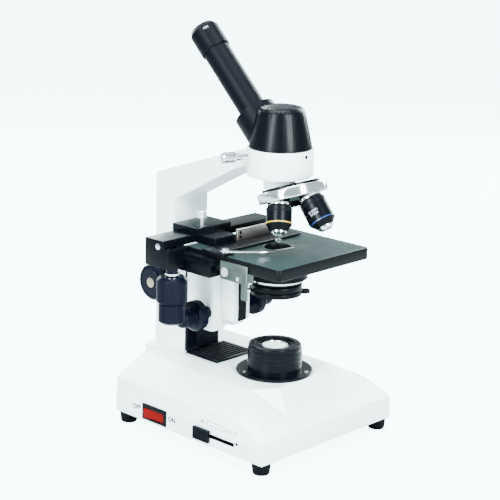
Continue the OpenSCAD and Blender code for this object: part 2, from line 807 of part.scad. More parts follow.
// Bent flat finger that holds the slide against the upright
module spring_finger() {
  z = holder_z + holder_t + 0.1;
  finger_l = 66;
  sag = 9;
  wide = 3.2;
  steps = 14;
  function middle(u) = [finger_l * u, -sag * sin(180 * u)];
  upper = [for (i = [0 : steps]) middle(i / steps) + [0, wide * (1 - 0.55 * i / steps)]];
  lower = [for (i = [steps : -1 : 0]) middle(i / steps) - [0, wide * (1 - 0.55 * i / steps)]];
  color("silver") place() translate([-stage_x + 3.4, holder_front - 3, z]) difference() {
    union() {
      rotate(-30) linear_extrude(finger_t) polygon(concat(upper, lower));
      cylinder(r = 4, h = finger_t);
    }
    translate([0, 0, -1]) cylinder(r = 1.5 + run, h = finger_t + 2);
  }
}

module finger_screw() {
  z = holder_z + holder_t;
  color("silver") place() translate([-stage_x + 3.4, holder_front - 3, z]) {
    cylinder(r = 1.5, h = finger_t + 0.4);
    translate([0, 0, finger_t + 0.3]) cylinder(r = 3.2, h = 1.6);
  }
}

// ---------- Condenser ----------

module condenser_mount() {
  z = condenser_z0 + 11;
  color("black") place() difference() {
    union() {
      translate([0, axis_y, z]) cylinder(r = condenser_r + 4, h = 8);
      block([-9, axis_y + condenser_r, z], [9, slide_front - back_t, z + 8]);
    }
    translate([0, axis_y, z - 1]) cylinder(r = condenser_r + run, h = 10);
  }
}

module condenser_body() {
  r = condenser_r;
  top = condenser_lens_r;
  color("black") place() difference() {
    union() {
      translate([0, axis_y, condenser_z0]) rotate_extrude() polygon([[top - 1, 5], [r - 3, 5], [r, 7],
        [r, 22], [r - 4, 25], [top + 3, 26], [top + 3, 32], [top + 2, 33], [top, 33], [top, 31],
        [top - 1, 31]]);
      intersection() {
        union() {
          translate([filter_pin_x, filter_pin_y, condenser_z0 + 6]) cylinder(r = 4.5, h = 4.5);
          translate([0, axis_y, condenser_z0 + 6]) rotate([0, 0, 44.2])
            block([0, -4, 0], [condenser_r + 3.6, 4, 4.5]);
        }
        difference() {
          translate([0, axis_y, condenser_z0]) cylinder(r = 60, h = 30);
          translate([0, axis_y, condenser_z0 - 1]) cylinder(r = r - 3, h = 50);
        }
      }
    }
    translate([filter_pin_x, filter_pin_y, condenser_z0 - 10]) cylinder(r = 1.8 + run, h = 30);
  }
}

module condenser_lens() {
  color("lightblue") place() translate([0, axis_y, condenser_z0 + 31])
    cylinder(r = condenser_lens_r - run, h = 1.8);
}

// Iris control ring with its lever
module iris_ring() {
  color("silver") place() translate([0, axis_y, condenser_z0]) difference() {
    union() {
      cylinder(r = condenser_r - 1, h = 4.6);
      rotate([0, 0, 172]) block([condenser_r - 3, -1.5, 1], [condenser_r + 9, 1.5, 3]);
      rotate([0, 0, 172]) translate([condenser_r + 9, 0, 0.4]) cylinder(r = 2.4, h = 3.6);
    }
    translate([0, 0, -1]) cylinder(r = condenser_r - 9, h = 7);
  }
}

// Filter frame that swings out on its own pin
module filter_ring() {
  z = condenser_z0 - 5.5;
  color("black") place() difference() {
    union() {
      translate([0, axis_y, z]) cylinder(r = condenser_r - 1, h = 4);
      translate([0, axis_y, z]) rotate([0, 0, 44.2])
        block([condenser_r - 4, -4, 0], [condenser_r + 3.6, 4, 4]);
      translate([filter_pin_x, filter_pin_y, z]) cylinder(r = 4.6, h = 4);
      translate([filter_pin_x, filter_pin_y, z]) cylinder(r = 1.8, h = 16);
      translate([0, axis_y, z]) rotate([0, 0, -40]) difference() {
        translate([condenser_r + 2, 0, 0]) cylinder(r = 5, h = 3);
        translate([condenser_r + 2.6, 0, -1]) cylinder(r = 2.8, h = 6);
      }
    }
    translate([0, axis_y, z - 1]) cylinder(r = condenser_r - 5, h = 3.5);
    translate([0, axis_y, z - 1]) cylinder(r = condenser_r - 7, h = 8);
  }
}

// ---------- Nosepiece ----------

module objective_axis(turn) {
  turret_axis() rotate([0, 0, turn]) translate([0, -objective_ring_r, seat_t]) rotate([turret_tilt, 0, 0])
    children();
}

// Fixed disc and pivot on which the nosepiece turns
module nosepiece_mount() {
  color("black") place() difference() {
    turret_axis() {
      translate([0, 0, -9]) cylinder(r = 27, h = 5.3);
      translate([0, 0, -4]) cylinder(r = 5, h = 14.5);
      translate([0, 0, 10.4]) cylinder(r = 7, h = 1.6);
    }
    translate([0, axis_y, turret_cz - 20]) cylinder(r = 7.5, h = 40);
  }
}

module turret_ring() {
  bore = 5 + run;
  slope = tan(turret_tilt);
  inner = turret_r - 3.2;
  color("silver") place() difference() {
    turret_axis() rotate_extrude() polygon([[bore, -3.4], [27 + gap, -3.4], [27 + gap, -6.4],
      [turret_r - 1.2, -6.4], [turret_r, -5.2], [turret_r, 2], [turret_r - 1, 3.3], [inner, 3.3],
      [inner, seat_t + (objective_ring_r - inner) * slope],
      [bore, seat_t + (objective_ring_r - bore) * slope]]);
    for (turn = [0 : 90 : 270]) objective_axis(turn) translate([0, 0, -20]) cylinder(r = 8 + run, h = 40);
  }
}

// Barrel of an objective: a thread, a neck, a straight barrel and a tapered nose
module objective(turn, length, nose_r, nose_l) {
  end = length - nose_l;
  objective_axis(turn) rotate_extrude() polygon([[nose_r - 2, -4], [8, -4], [8, 0], [9.5, 0],
    [9.5, barrel_start - 1], [barrel_r, barrel_start], [barrel_r, end - 1], [barrel_r - 1, end],
    [nose_r + 2, length - 3], [nose_r, length], [nose_r - 2, length], [nose_r - 2, length - 2]]);
}

module objective_4x() {
  color("black") place() objective(0, 28, 8, 5);
}

module objective_10x() {
  color("black") place() objective(90, 31.5, 5.5, 8);
}

module objective_40x() {
  color("black") place() objective(180, 36.5, 5.5, 7);
}

module objective_100x() {
  color("black") place() objective(270, 37.2, 5, 8);
}

module front_lenses() {
  color("lightblue") place() for (o = [[0, 28, 6], [90, 31.5, 3.5], [180, 36.5, 3.5], [270, 37.2, 3]])
    objective_axis(o[0]) translate([0, 0, o[1] - 1.8]) cylinder(r = o[2] - run, h = 1.4);
}

// ---------- Head ----------

module tube_axis() {
  translate([0, axis_y, prism_z]) rotate([tube_angle - 90, 0, 0]) children();
}

// Turning head: a stem in the ring, a tapered body and a domed top
module head() {
  h = 39;
  color("black") place() difference() {
    union() {
      ring_place(arm_z - 16) cylinder(r = stem_r, h = 16.1);
      ring_place(arm_z) rotate_extrude() polygon([[0, 0], [cone_r - 0.8, 0], [cone_r, 0.8],
        [cone_r - 7, h - 6], [cone_r - 8.2, h - 3.4], [cone_r - 10.4, h - 1.4], [cone_r - 14, h - 0.3],
        [0, h]]);
    }
    ring_place(arm_z - 17) cylinder(r = 11, h = 20);
    ring_place(arm_z - 12) cylinder(r = 15, h = 25);
    intersection() {
      tube_axis() cylinder(r = collar_r + run, h = 90);
      ring_place(arm_z + 2) cylinder(r = 80, h = 90);
    }
  }
}

// Prism that turns the light into the inclined tube, resting on the stem's ledge
module prism() {
  color("lightblue") place() ring_place(arm_z - 12)
    side_plate(20, [[-10, 0], [10, 0], [10, 8], [4, 12], [-10, 4]]);
}

module tube_collar() {
  color("black") place() difference() {
    intersection() {
      tube_axis() translate([0, 0, 16]) cylinder(r = collar_r, h = collar_end - 16);
      ring_place(arm_z + 2 + run) cylinder(r = 80, h = 90);
    }
    tube_axis() cylinder(r = tube_r + run, h = 90);
  }
}

module eyepiece_tube() {
  color("black") place() difference() {
    intersection() {
      tube_axis() translate([0, 0, 22]) cylinder(r = tube_r, h = tube_l - 22);
      ring_place(arm_z + 4) cylinder(r = 150, h = 200);
    }
    tube_axis() cylinder(r = tube_r - tube_wall, h = tube_l + 1);
  }
}

// Eyepiece: a barrel that slips into the tube under a wider cap
module eyepiece() {
  r = tube_r - tube_wall - run;
  cap = tube_r + 1.5;
  color("black") place() tube_axis() rotate_extrude() polygon([[r - 2, tube_l - 28], [r, tube_l - 28],
    [r, tube_l + run], [cap - 0.5, tube_l + run], [cap, tube_l + 1], [cap, tube_l + eyecap_l - 4],
    [cap - 2.5, tube_l + eyecap_l], [8, tube_l + eyecap_l], [6, tube_l + eyecap_l - 3],
    [r - 2, tube_l + eyecap_l - 3]]);
}

module eyepiece_lenses() {
  r = tube_r - tube_wall - 2 - 2 * run;
  color("lightblue") place() tube_axis() {
    translate([0, 0, tube_l - 26]) cylinder(r = r, h = 4);
    translate([0, 0, tube_l + eyecap_l - 8]) cylinder(r = r, h = 5);
  }
}

// Knurled screw that clamps the turning head in its ring
module clamp_screw() {
  color("silver") place() clamp_axis() {
    translate([0, 0, stem_r + 0.6]) cylinder(r = 2.5, h = 46 - stem_r);
    translate([0, 0, ring_r + 9]) cylinder(r = 3.4, h = 5);
    translate([0, 0, ring_r + 13.9]) cylinder(r = 5, h = 14);
  }
}

base_casting();
bottom_plate();
feet();
foot_screws();
vent_plate();
lamp_housing();
lamp_window();
lamp_holder();
lamp_bulb();
transformer();
dimmer_board();
mains_inlet();
switch_bezel();
rocker();
dimmer_knob();
arm();
column_bolts();
column_rail();
shaft_bushes();
focus_housing();
coarse_rack();
coarse_shaft();
coarse_knobs();
fine_shaft();
fine_knobs();
fine_slide();
slide_strip();
stage_bracket();
bracket_screws();
stage_plate();
stage_rack();
y_carriage();
cross_bar();
upper_stage_knob();
lower_stage_knob();
x_carriage();
slide_holder();
holder_upright();
thumb_screw();
spring_finger();
finger_screw();
condenser_mount();
condenser_body();
condenser_lens();
iris_ring();
filter_ring();
nosepiece_mount();
turret_ring();
objective_4x();
objective_10x();
objective_40x();
objective_100x();
front_lenses();
head();
prism();
tube_collar();
eyepiece_tube();
eyepiece();
eyepiece_lenses();
clamp_screw();
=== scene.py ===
import json
import math

import bpy
from mathutils import Matrix, Vector

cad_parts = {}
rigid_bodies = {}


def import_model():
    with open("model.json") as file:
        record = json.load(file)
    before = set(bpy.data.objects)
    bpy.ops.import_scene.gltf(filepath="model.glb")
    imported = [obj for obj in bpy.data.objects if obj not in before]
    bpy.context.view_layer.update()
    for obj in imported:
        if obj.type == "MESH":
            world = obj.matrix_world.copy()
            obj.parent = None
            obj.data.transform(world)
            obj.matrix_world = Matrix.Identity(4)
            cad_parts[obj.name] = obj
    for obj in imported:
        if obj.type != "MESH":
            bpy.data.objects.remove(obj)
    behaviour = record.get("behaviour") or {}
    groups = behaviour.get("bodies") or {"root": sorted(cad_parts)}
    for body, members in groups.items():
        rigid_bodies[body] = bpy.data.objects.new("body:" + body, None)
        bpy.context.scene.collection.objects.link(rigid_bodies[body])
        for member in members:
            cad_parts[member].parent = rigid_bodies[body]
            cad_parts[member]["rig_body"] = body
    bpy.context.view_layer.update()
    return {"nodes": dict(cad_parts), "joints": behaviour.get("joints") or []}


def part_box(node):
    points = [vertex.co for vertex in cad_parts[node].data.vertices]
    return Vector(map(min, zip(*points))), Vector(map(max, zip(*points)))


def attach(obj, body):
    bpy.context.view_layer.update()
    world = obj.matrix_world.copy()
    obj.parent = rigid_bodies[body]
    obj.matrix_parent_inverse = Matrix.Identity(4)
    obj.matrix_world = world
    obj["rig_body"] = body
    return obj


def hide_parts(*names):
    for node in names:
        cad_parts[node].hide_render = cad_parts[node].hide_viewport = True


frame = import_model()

# ---------------------------------------------------------------------------
# Table, daylight and camera
# The instrument stands on a pale seamless table top under large soft lamps.
# The camera looks down a little from the front left, with a long lens.
# ---------------------------------------------------------------------------
MM = 0.001


def only(*pieces):
    """Selects these pieces and nothing else, the first one active."""
    if bpy.context.object and bpy.context.object.mode != "OBJECT":
        bpy.ops.object.mode_set(mode="OBJECT")
    bpy.ops.object.select_all(action="DESELECT")
    for piece in pieces:
        piece.select_set(True)
    bpy.context.view_layer.objects.active = pieces[0]


def new_material(name, colour, roughness, metallic=0.0):
    """A material with its Principled shader, its node tree and the tree's links."""
    material = bpy.data.materials.new(name)
    material.use_nodes = True
    shader = material.node_tree.nodes["Principled BSDF"]
    shader.inputs["Base Color"].default_value = (*colour, 1)
    shader.inputs["Roughness"].default_value = roughness
    shader.inputs["Metallic"].default_value = metallic
    return material, shader


bpy.ops.mesh.primitive_plane_add(size=40, location=(0, 0, 0))
table_top = bpy.context.object
table_top.name = "table_top"
table_paint, shader = new_material("table_paint", (0.42, 0.45, 0.45), 0.8)
shader.inputs["Specular IOR Level"].default_value = 0
shader.inputs["Emission Color"].default_value = (0.66, 1.0, 1.0, 1)
seen = table_paint.node_tree.nodes.new("ShaderNodeLightPath")
glow = table_paint.node_tree.nodes.new("ShaderNodeMath")
glow.operation = "MULTIPLY"
glow.inputs[1].default_value = 9
table_paint.node_tree.links.new(seen.outputs["Is Camera Ray"], glow.inputs[0])
table_paint.node_tree.links.new(glow.outputs[0], shader.inputs["Emission Strength"])
table_top.data.materials.append(table_paint)

world = bpy.data.worlds.new("studio")
world.use_nodes = True
world.node_tree.nodes["Background"].inputs["Color"].default_value = (0.8, 0.97, 1.0, 1)
world.node_tree.nodes["Background"].inputs["Strength"].default_value = 0.9
bpy.context.scene.world = world


def soft_lamp(name, place, aim, width, height, power):
    """An upright soft box of that width and height in metres, aimed at a point."""
    lamp = bpy.data.lights.new(name, "AREA")
    lamp.shape = "RECTANGLE"
    lamp.size = width
    lamp.size_y = height
    lamp.energy = power
    lamp.color = (0.88, 0.99, 1.0)
    holder = bpy.data.objects.new(name, lamp)
    holder.location = place
    holder.rotation_euler = (Vector(aim) - Vector(place)).to_track_quat("-Z", "Y").to_euler()
    bpy.context.scene.collection.objects.link(holder)


soft_lamp("left_strip", (-1.35, -0.15, 0.75), (0, 0, 0.2), 0.35, 1.1, 85)
soft_lamp("front_strip", (-0.25, -1.4, 0.75), (0, 0, 0.2), 0.35, 1.1, 95)
soft_lamp("right_box", (1.45, 0.25, 0.7), (0, 0, 0.15), 0.8, 0.9, 60)
soft_lamp("top_box", (0, 0.1, 1.5), (0, 0, 0.1), 1.0, 1.0, 65)
soft_lamp("back_box", (0.5, 1.3, 0.8), (0, 0, 0.15), 1.0, 1.0, 50)

CAMERA_PLACE = Vector((-1.0041, -0.9538, 0.5415))
CAMERA_AIM = Vector((-0.00432, -0.00644, 0.17581))
CAMERA_ROLL = math.radians(-1.317)
camera_data = bpy.data.cameras.new("camera")
camera_data.lens = 108
camera_data.sensor_width = 36
camera_data.clip_end = 20
camera = bpy.data.objects.new("camera", camera_data)
look = (CAMERA_AIM - CAMERA_PLACE).to_track_quat("-Z", "Y").to_matrix().to_4x4()
camera.matrix_world = (Matrix.Translation(CAMERA_PLACE) @ look @ Matrix.Rotation(-CAMERA_ROLL, 4, "Z"))
bpy.context.scene.collection.objects.link(camera)
bpy.context.scene.camera = camera

# ---------------------------------------------------------------------------
# Base casting and arm
# Two aluminium castings, filed at the parting lines and stoved in white enamel.
# The arm stands on the boss behind the base and is bolted from below.
# ---------------------------------------------------------------------------


def effect(name, inputs, outputs):
    """An empty shader node group with float inputs (name: value) and outputs (name: kind)."""
    group = bpy.data.node_groups.new(name, "ShaderNodeTree")
    for label, value in inputs.items():
        socket = group.interface.new_socket(label, in_out="INPUT", socket_type="NodeSocketFloat")
        socket.default_value = value
    for label, kind in outputs.items():
        group.interface.new_socket(label, in_out="OUTPUT", socket_type=kind)
    return group, group.nodes.new("NodeGroupInput"), group.nodes.new("NodeGroupOutput")


FLOAT, VECTOR = "NodeSocketFloat", "NodeSocketVector"

# Fine unevenness of a sprayed or moulded skin: a value for the gloss and a normal.
grain, grain_in, grain_out = effect("skin_grain", {"Scale": 900, "Depth": 0.1},
                                    {"Value": FLOAT, "Normal": VECTOR})
place = grain.nodes.new("ShaderNodeTexCoord")
noise = grain.nodes.new("ShaderNodeTexNoise")
noise.inputs["Detail"].default_value = 3
bump = grain.nodes.new("ShaderNodeBump")
bump.inputs["Distance"].default_value = 0.0004
grain.links.new(place.outputs["Object"], noise.inputs["Vector"])
grain.links.new(grain_in.outputs["Scale"], noise.inputs["Scale"])
grain.links.new(grain_in.outputs["Depth"], bump.inputs["Strength"])
grain.links.new(noise.outputs["Fac"], bump.inputs["Height"])
grain.links.new(noise.outputs["Fac"], grain_out.inputs["Value"])
grain.links.new(bump.outputs["Normal"], grain_out.inputs["Normal"])

# Handling marks: broad soft blotches where hands have been, from 0 to Amount.
smudge, smudge_in, smudge_out = effect("handling_marks", {"Scale": 28, "Amount": 0.15}, {"Value": FLOAT})
place = smudge.nodes.new("ShaderNodeTexCoord")
noise = smudge.nodes.new("ShaderNodeTexNoise")
noise.inputs["Detail"].default_value = 4
noise.inputs["Distortion"].default_value = 0.6
scaled = smudge.nodes.new("ShaderNodeMath")
scaled.operation = "MULTIPLY"
smudge.links.new(place.outputs["Object"], noise.inputs["Vector"])
smudge.links.new(smudge_in.outputs["Scale"], noise.inputs["Scale"])
smudge.links.new(noise.outputs["Fac"], scaled.inputs[0])
smudge.links.new(smudge_in.outputs["Amount"], scaled.inputs[1])
smudge.links.new(scaled.outputs[0], smudge_out.inputs["Value"])

# Edge wear: 1 on sharp corners that get rubbed, broken up by noise.
wear, wear_in, wear_out = effect("edge_wear", {"Width": 0.0008, "Amount": 0.5}, {"Mask": FLOAT})
rounded = wear.nodes.new("ShaderNodeBevel")
rounded.samples = 4
flat = wear.nodes.new("ShaderNodeNewGeometry")
turned_away = wear.nodes.new("ShaderNodeVectorMath")
turned_away.operation = "DOT_PRODUCT"
sharp = wear.nodes.new("ShaderNodeMapRange")
sharp.inputs["From Min"].default_value = 0.995
sharp.inputs["From Max"].default_value = 0.9
broken = wear.nodes.new("ShaderNodeMath")
broken.operation = "MULTIPLY"
place = wear.nodes.new("ShaderNodeTexCoord")
noise = wear.nodes.new("ShaderNodeTexNoise")
noise.inputs["Scale"].default_value = 160
amount = wear.nodes.new("ShaderNodeMath")
amount.operation = "MULTIPLY"
wear.links.new(wear_in.outputs["Width"], rounded.inputs["Radius"])
wear.links.new(rounded.outputs["Normal"], turned_away.inputs[0])
wear.links.new(flat.outputs["Normal"], turned_away.inputs[1])
wear.links.new(turned_away.outputs["Value"], sharp.inputs["Value"])
wear.links.new(place.outputs["Object"], noise.inputs["Vector"])
wear.links.new(sharp.outputs["Result"], broken.inputs[0])
wear.links.new(noise.outputs["Fac"], broken.inputs[1])
wear.links.new(broken.outputs[0], amount.inputs[0])
wear.links.new(wear_in.outputs["Amount"], amount.inputs[1])
wear.links.new(amount.outputs[0], wear_out.inputs["Mask"])


def add_effect(material, group, **values):
    """Places an effect group in a material with its own values."""
    node = material.node_tree.nodes.new("ShaderNodeGroup")
    node.node_tree = group
    for label, value in values.items():
        node.inputs[label].default_value = value
    return node


def coated(name, colour, worn_colour, gloss, grain_scale=900, grain_depth=0.08, wear_amount=0.4, coat=0.0,
           shine=0.5):
    """A sprayed or moulded finish: grain, handling marks in the gloss, and rubbed edges."""
    material, shader = new_material(name, colour, gloss)
    nodes, links = material.node_tree.nodes, material.node_tree.links
    skin = add_effect(material, grain, Scale=grain_scale, Depth=grain_depth)
    marks = add_effect(material, smudge, Scale=26, Amount=0.16)
    rubbed = add_effect(material, wear, Width=0.0007, Amount=wear_amount)
    rough = nodes.new("ShaderNodeMath")
    rough.operation = "ADD"
    rough.inputs[1].default_value = gloss - 0.08
    links.new(marks.outputs["Value"], rough.inputs[0])
    links.new(rough.outputs[0], shader.inputs["Roughness"])
    links.new(skin.outputs["Normal"], shader.inputs["Normal"])
    tint = nodes.new("ShaderNodeMix")
    tint.data_type = "RGBA"
    tint.inputs["A"].default_value = (*colour, 1)
    tint.inputs["B"].default_value = (*worn_colour, 1)
    links.new(rubbed.outputs["Mask"], tint.inputs["Factor"])
    links.new(tint.outputs["Result"], shader.inputs["Base Color"])
    shader.inputs["Coat Weight"].default_value = coat
    shader.inputs["Coat Roughness"].default_value = 0.12
    shader.inputs["Specular IOR Level"].default_value = shine
    return material


white_enamel = coated("white_enamel", (0.84, 0.92, 0.925), (0.9, 0.92, 0.9), 0.36, 700, 0.05, 0.25, 0.25)


def softened(node, width, material, segments=3, angle=24):
    """A merged copy of a CAD node with its edges broken by a bevel, which takes the node's place."""
    source = frame["nodes"][node]
    piece = source.copy()
    piece.data = source.data.copy()
    piece.name = node + "_finished"
    piece.parent = None
    for key in list(piece.keys()):
        del piece[key]
    bpy.context.scene.collection.objects.link(piece)
    only(piece)
    bpy.ops.object.mode_set(mode="EDIT")
    bpy.ops.mesh.select_all(action="SELECT")
    bpy.ops.mesh.remove_doubles(threshold=0.00001)
    bpy.ops.mesh.dissolve_limited(angle_limit=math.radians(0.6))
    bpy.ops.mesh.select_all(action="DESELECT")
    bpy.ops.object.mode_set(mode="OBJECT")
    edge = piece.modifiers.new("edge", "BEVEL")
    edge.width = width
    edge.segments = segments
    edge.limit_method = "ANGLE"
    edge.angle_limit = math.radians(angle)
    edge.miter_outer = "MITER_ARC"
    bpy.ops.object.modifier_apply(modifier="edge")
    bpy.ops.object.shade_smooth_by_angle(angle=math.radians(35))
    piece.data.materials.clear()
    piece.data.materials.append(material)
    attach(piece, frame["nodes"][node]["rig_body"])
    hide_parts(node)
    return piece


def keep(node, material, smooth=30):
    """A CAD node that stays as it is, with its finish and with its round faces shaded smooth."""
    piece = frame["nodes"][node]
    piece.data.materials.clear()
    piece.data.materials.append(material)
    only(piece)
    bpy.ops.object.shade_smooth_by_angle(angle=math.radians(smooth))
    return piece


softened("base_casting", 1.6 * MM, white_enamel, 3, 9)
softened("arm", 1.5 * MM, white_enamel, 3, 20)

# ---------------------------------------------------------------------------
# Bottom plate, feet and their screws
# A zinc-plated sheet closes the base. Four moulded rubber feet hold it, each
# with a plated screw sunk into it and run up into the casting.
# ---------------------------------------------------------------------------


def polished(name, colour, gloss, stretch=(1, 1, 1), scratch=0.06):
    """Bare or plated metal: fine marks drawn out along one direction, and handling marks."""
    material, shader = new_material(name, colour, gloss, 1.0)
    nodes, links = material.node_tree.nodes, material.node_tree.links
    place = nodes.new("ShaderNodeTexCoord")
    drawn = nodes.new("ShaderNodeMapping")
    drawn.inputs["Scale"].default_value = stretch
    noise = nodes.new("ShaderNodeTexNoise")
    noise.inputs["Scale"].default_value = 1400
    noise.inputs["Detail"].default_value = 2
    bump = nodes.new("ShaderNodeBump")
    bump.inputs["Strength"].default_value = scratch
    bump.inputs["Distance"].default_value = 0.0002
    marks = add_effect(material, smudge, Scale=40, Amount=0.12)
    rough = nodes.new("ShaderNodeMath")
    rough.operation = "ADD"
    rough.inputs[1].default_value = gloss - 0.05
    links.new(place.outputs["Object"], drawn.inputs["Vector"])
    links.new(drawn.outputs["Vector"], noise.inputs["Vector"])
    links.new(noise.outputs["Fac"], bump.inputs["Height"])
    links.new(bump.outputs["Normal"], shader.inputs["Normal"])
    links.new(marks.outputs["Value"], rough.inputs[0])
    links.new(rough.outputs[0], shader.inputs["Roughness"])
    return material


zinc = polished("zinc", (0.4, 0.44, 0.43), 0.38, (1, 0.06, 1), 0.12)
steel = polished("steel", (0.62, 0.63, 0.64), 0.26, (0.05, 1, 1), 0.1)
rubber = coated("foot_rubber", (0.001, 0.0013, 0.0022), (0.012, 0.013, 0.015), 0.6, 1500, 0.3, 0.3, 0, 0.05)
keep("bottom_plate", zinc)
keep("foot_screws", steel)
softened("feet", 0.8 * MM, rubber, 3, 30)

# ---------------------------------------------------------------------------
# Vent plate
# A moulded black grille clipped into the deck behind the lamp. Its slots let
# the transformer's warmth out.
# ---------------------------------------------------------------------------
black_moulding = coated("black_moulding", (0.001, 0.0014, 0.0028), (0.012, 0.014, 0.018), 0.4, 1100, 0.12, 0.4,
                        0, 0.05)
softened("vent_plate", 0.35 * MM, black_moulding, 2, 40)

# ---------------------------------------------------------------------------
# Lamp: drum, window, holder and bulb
# A turned black drum on a flange, with a frosted glass window in its stepped
# mouth. The holder hangs under the deck and carries a small filament bulb.
# ---------------------------------------------------------------------------


def turned(name, steps, material, sides=96, start_closed=True, end_closed=True):
    """A piece turned about +Z from (radius, height) steps in millimetres, starting from a circle."""
    radius, height = steps[0]
    bpy.ops.object.select_all(action="DESELECT")
    bpy.ops.mesh.primitive_circle_add(vertices=sides, radius=radius * MM, location=(0, 0, height * MM),
                                      fill_type="NGON" if start_closed else "NOTHING")
    piece = bpy.context.object
    piece.name = name
    bpy.ops.object.transform_apply(location=True, rotation=False, scale=False)
    bpy.ops.object.mode_set(mode="EDIT")
    bpy.ops.mesh.select_mode(type="EDGE")
    bpy.ops.mesh.select_all(action="SELECT")
    for next_radius, next_height in steps[1:]:
        bpy.ops.mesh.extrude_region_move(
            TRANSFORM_OT_translate={"value": (0, 0, (next_height - height) * MM)})
        factor = next_radius / radius
        bpy.ops.transform.resize(value=(factor, factor, 1), center_override=(0, 0, 0))
        radius, height = next_radius, next_height
    if end_closed and not start_closed:
        bpy.ops.mesh.edge_face_add()
    bpy.ops.mesh.select_all(action="SELECT")
    bpy.ops.mesh.remove_doubles(threshold=0.000005)
    bpy.ops.mesh.normals_make_consistent(inside=False)
    bpy.ops.mesh.select_all(action="DESELECT")
    bpy.ops.object.mode_set(mode="OBJECT")
    bpy.ops.object.shade_smooth_by_angle(angle=math.radians(32))
    piece.data.materials.append(material)
    return piece


def laid(piece, where, direction=(0, 0, 1), roll=0.0):
    """Turns a piece's own +Z towards a direction, moves it to a point, and leaves that in its mesh."""
    turn = Vector(direction).to_track_quat("Z", "Y").to_matrix().to_4x4()
    piece.matrix_world = Matrix.Translation(Vector(where)) @ turn @ Matrix.Rotation(roll, 4, "Z")
    only(piece)
    bpy.ops.object.transform_apply(location=True, rotation=True, scale=True)
    return piece


def fitted(piece, body, slot, *nodes):
    """Hangs a finished piece on its body and hides the CAD nodes that it stands for; the slot argument is not
    used.
    """
    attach(piece, body)
    if nodes:
        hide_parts(*nodes)
    return piece


black_enamel = coated("black_enamel", (0.0008, 0.0013, 0.0024), (0.02, 0.024, 0.026), 0.3, 900, 0.08, 0.5,
                      0, 0.075)
black_satin = coated("black_satin", (0.001, 0.0014, 0.003), (0.014, 0.016, 0.02), 0.42, 1300, 0.16, 0.4,
                     0, 0.05)
clear_glass, shader = new_material("clear_glass", (0.86, 0.95, 0.94), 0.03)
shader.inputs["Transmission Weight"].default_value = 1.0
shader.inputs["IOR"].default_value = 1.5
frosted_glass = coated("frosted_glass", (0.78, 0.86, 0.85), (0.9, 0.9, 0.9), 0.42, 1800, 0.3, 0.1, 0.4)
steatite = coated("steatite", (0.78, 0.76, 0.68), (0.9, 0.88, 0.8), 0.7, 1400, 0.25, 0.2)
drum_low, drum_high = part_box("lamp_housing")
flange_r = (drum_high.x - drum_low.x) / 2 / MM
drum_r, mouth_r, drum_top = flange_r - 10.5, 19, (drum_high.z - drum_low.z) / MM
drum = turned("lamp_drum", [
    (drum_r - 4, 0), (flange_r - 0.7, 0), (flange_r, 0.7), (flange_r, 2.3), (flange_r - 0.7, 3), (drum_r, 3),
    (drum_r, 7), (drum_r - 0.5, 7.3), (drum_r - 0.5, 8), (drum_r, 8.3), (drum_r, 13), (drum_r - 0.5, 13.3),
    (drum_r - 0.5, 14), (drum_r, 14.3), (drum_r, 17.4), (drum_r - 0.5, 17.7), (drum_r - 0.5, 18.4),
    (drum_r, 18.7), (drum_r, drum_top - 5), (drum_r - 0.9, drum_top - 4.2), (drum_r - 0.9, drum_top - 1.2),
    (drum_r - 1.6, drum_top - 0.2), (drum_r - 2.2, drum_top), (mouth_r, drum_top), (mouth_r, drum_top - 1.5),
    (mouth_r - 3.5, drum_top - 1.5), (mouth_r - 3.5, drum_top - 2.5), (mouth_r - 6.5, drum_top - 2.5),
    (mouth_r - 6.5, drum_top - 4), (mouth_r - 8, drum_top - 4), (mouth_r - 8, drum_top - 6),
    (drum_r - 4, drum_top - 6), (drum_r - 4, 0)], black_enamel, 128, False, False)
drum_foot = Vector(((drum_low.x + drum_high.x) / 2, (drum_low.y + drum_high.y) / 2, drum_low.z))
laid(drum, drum_foot)
fitted(drum, "root", "black_paint", "lamp_housing")
retainer = turned("window_retainer", [
    (mouth_r - 7.8, drum_top - 2.35), (mouth_r - 6.6, drum_top - 2.35), (mouth_r - 6.6, drum_top - 1.7),
    (mouth_r - 7.4, drum_top - 1.7), (mouth_r - 7.8, drum_top - 2.35)], steel, 96, False, False)
laid(retainer, drum_foot)
fitted(retainer, "root", "steel")
for number, bearing in enumerate((160, 292)):
    screw = turned("flange_screw_%d" % number, [(1.8, 3), (1.8, 3.5), (1.2, 4), (0.3, 4)], steel, 24)
    angle = math.radians(bearing)
    laid(screw, drum_foot + Vector((math.cos(angle), math.sin(angle), 0)) * (flange_r - 4.6) * MM)
    fitted(screw, "root", "steel")
keep("lamp_window", frosted_glass)
keep("lamp_holder", steatite)
keep("lamp_bulb", clear_glass)

# ---------------------------------------------------------------------------
# Transformer, dimmer board and mains inlet
# The parts inside the base, screwed to the bottom plate, and the appliance
# inlet let into the boss at the back.
# ---------------------------------------------------------------------------
board_brown = coated("board_brown", (0.003, 0.002, 0.0015), (0.02, 0.014, 0.01), 0.5, 1200, 0.05, 0.1, 0, 0.1)
keep("transformer", zinc)
keep("dimmer_board", board_brown)
softened("mains_inlet", 0.4 * MM, black_moulding, 2, 40)

# ---------------------------------------------------------------------------
# Power switch
# A snap-in rocker in a black bezel. The red rocker is moulded in translucent
# plastic, its two flats meeting in a shallow ridge.
# ---------------------------------------------------------------------------
signal_red = coated("signal_red", (0.11, 0.0002, 0.0004), (0.2, 0.005, 0.005), 0.3, 900, 0.03, 0.2, 0, 0.06)
softened("switch_bezel", 0.5 * MM, black_moulding, 3, 40)
softened("rocker", 0.5 * MM, signal_red, 3, 20)


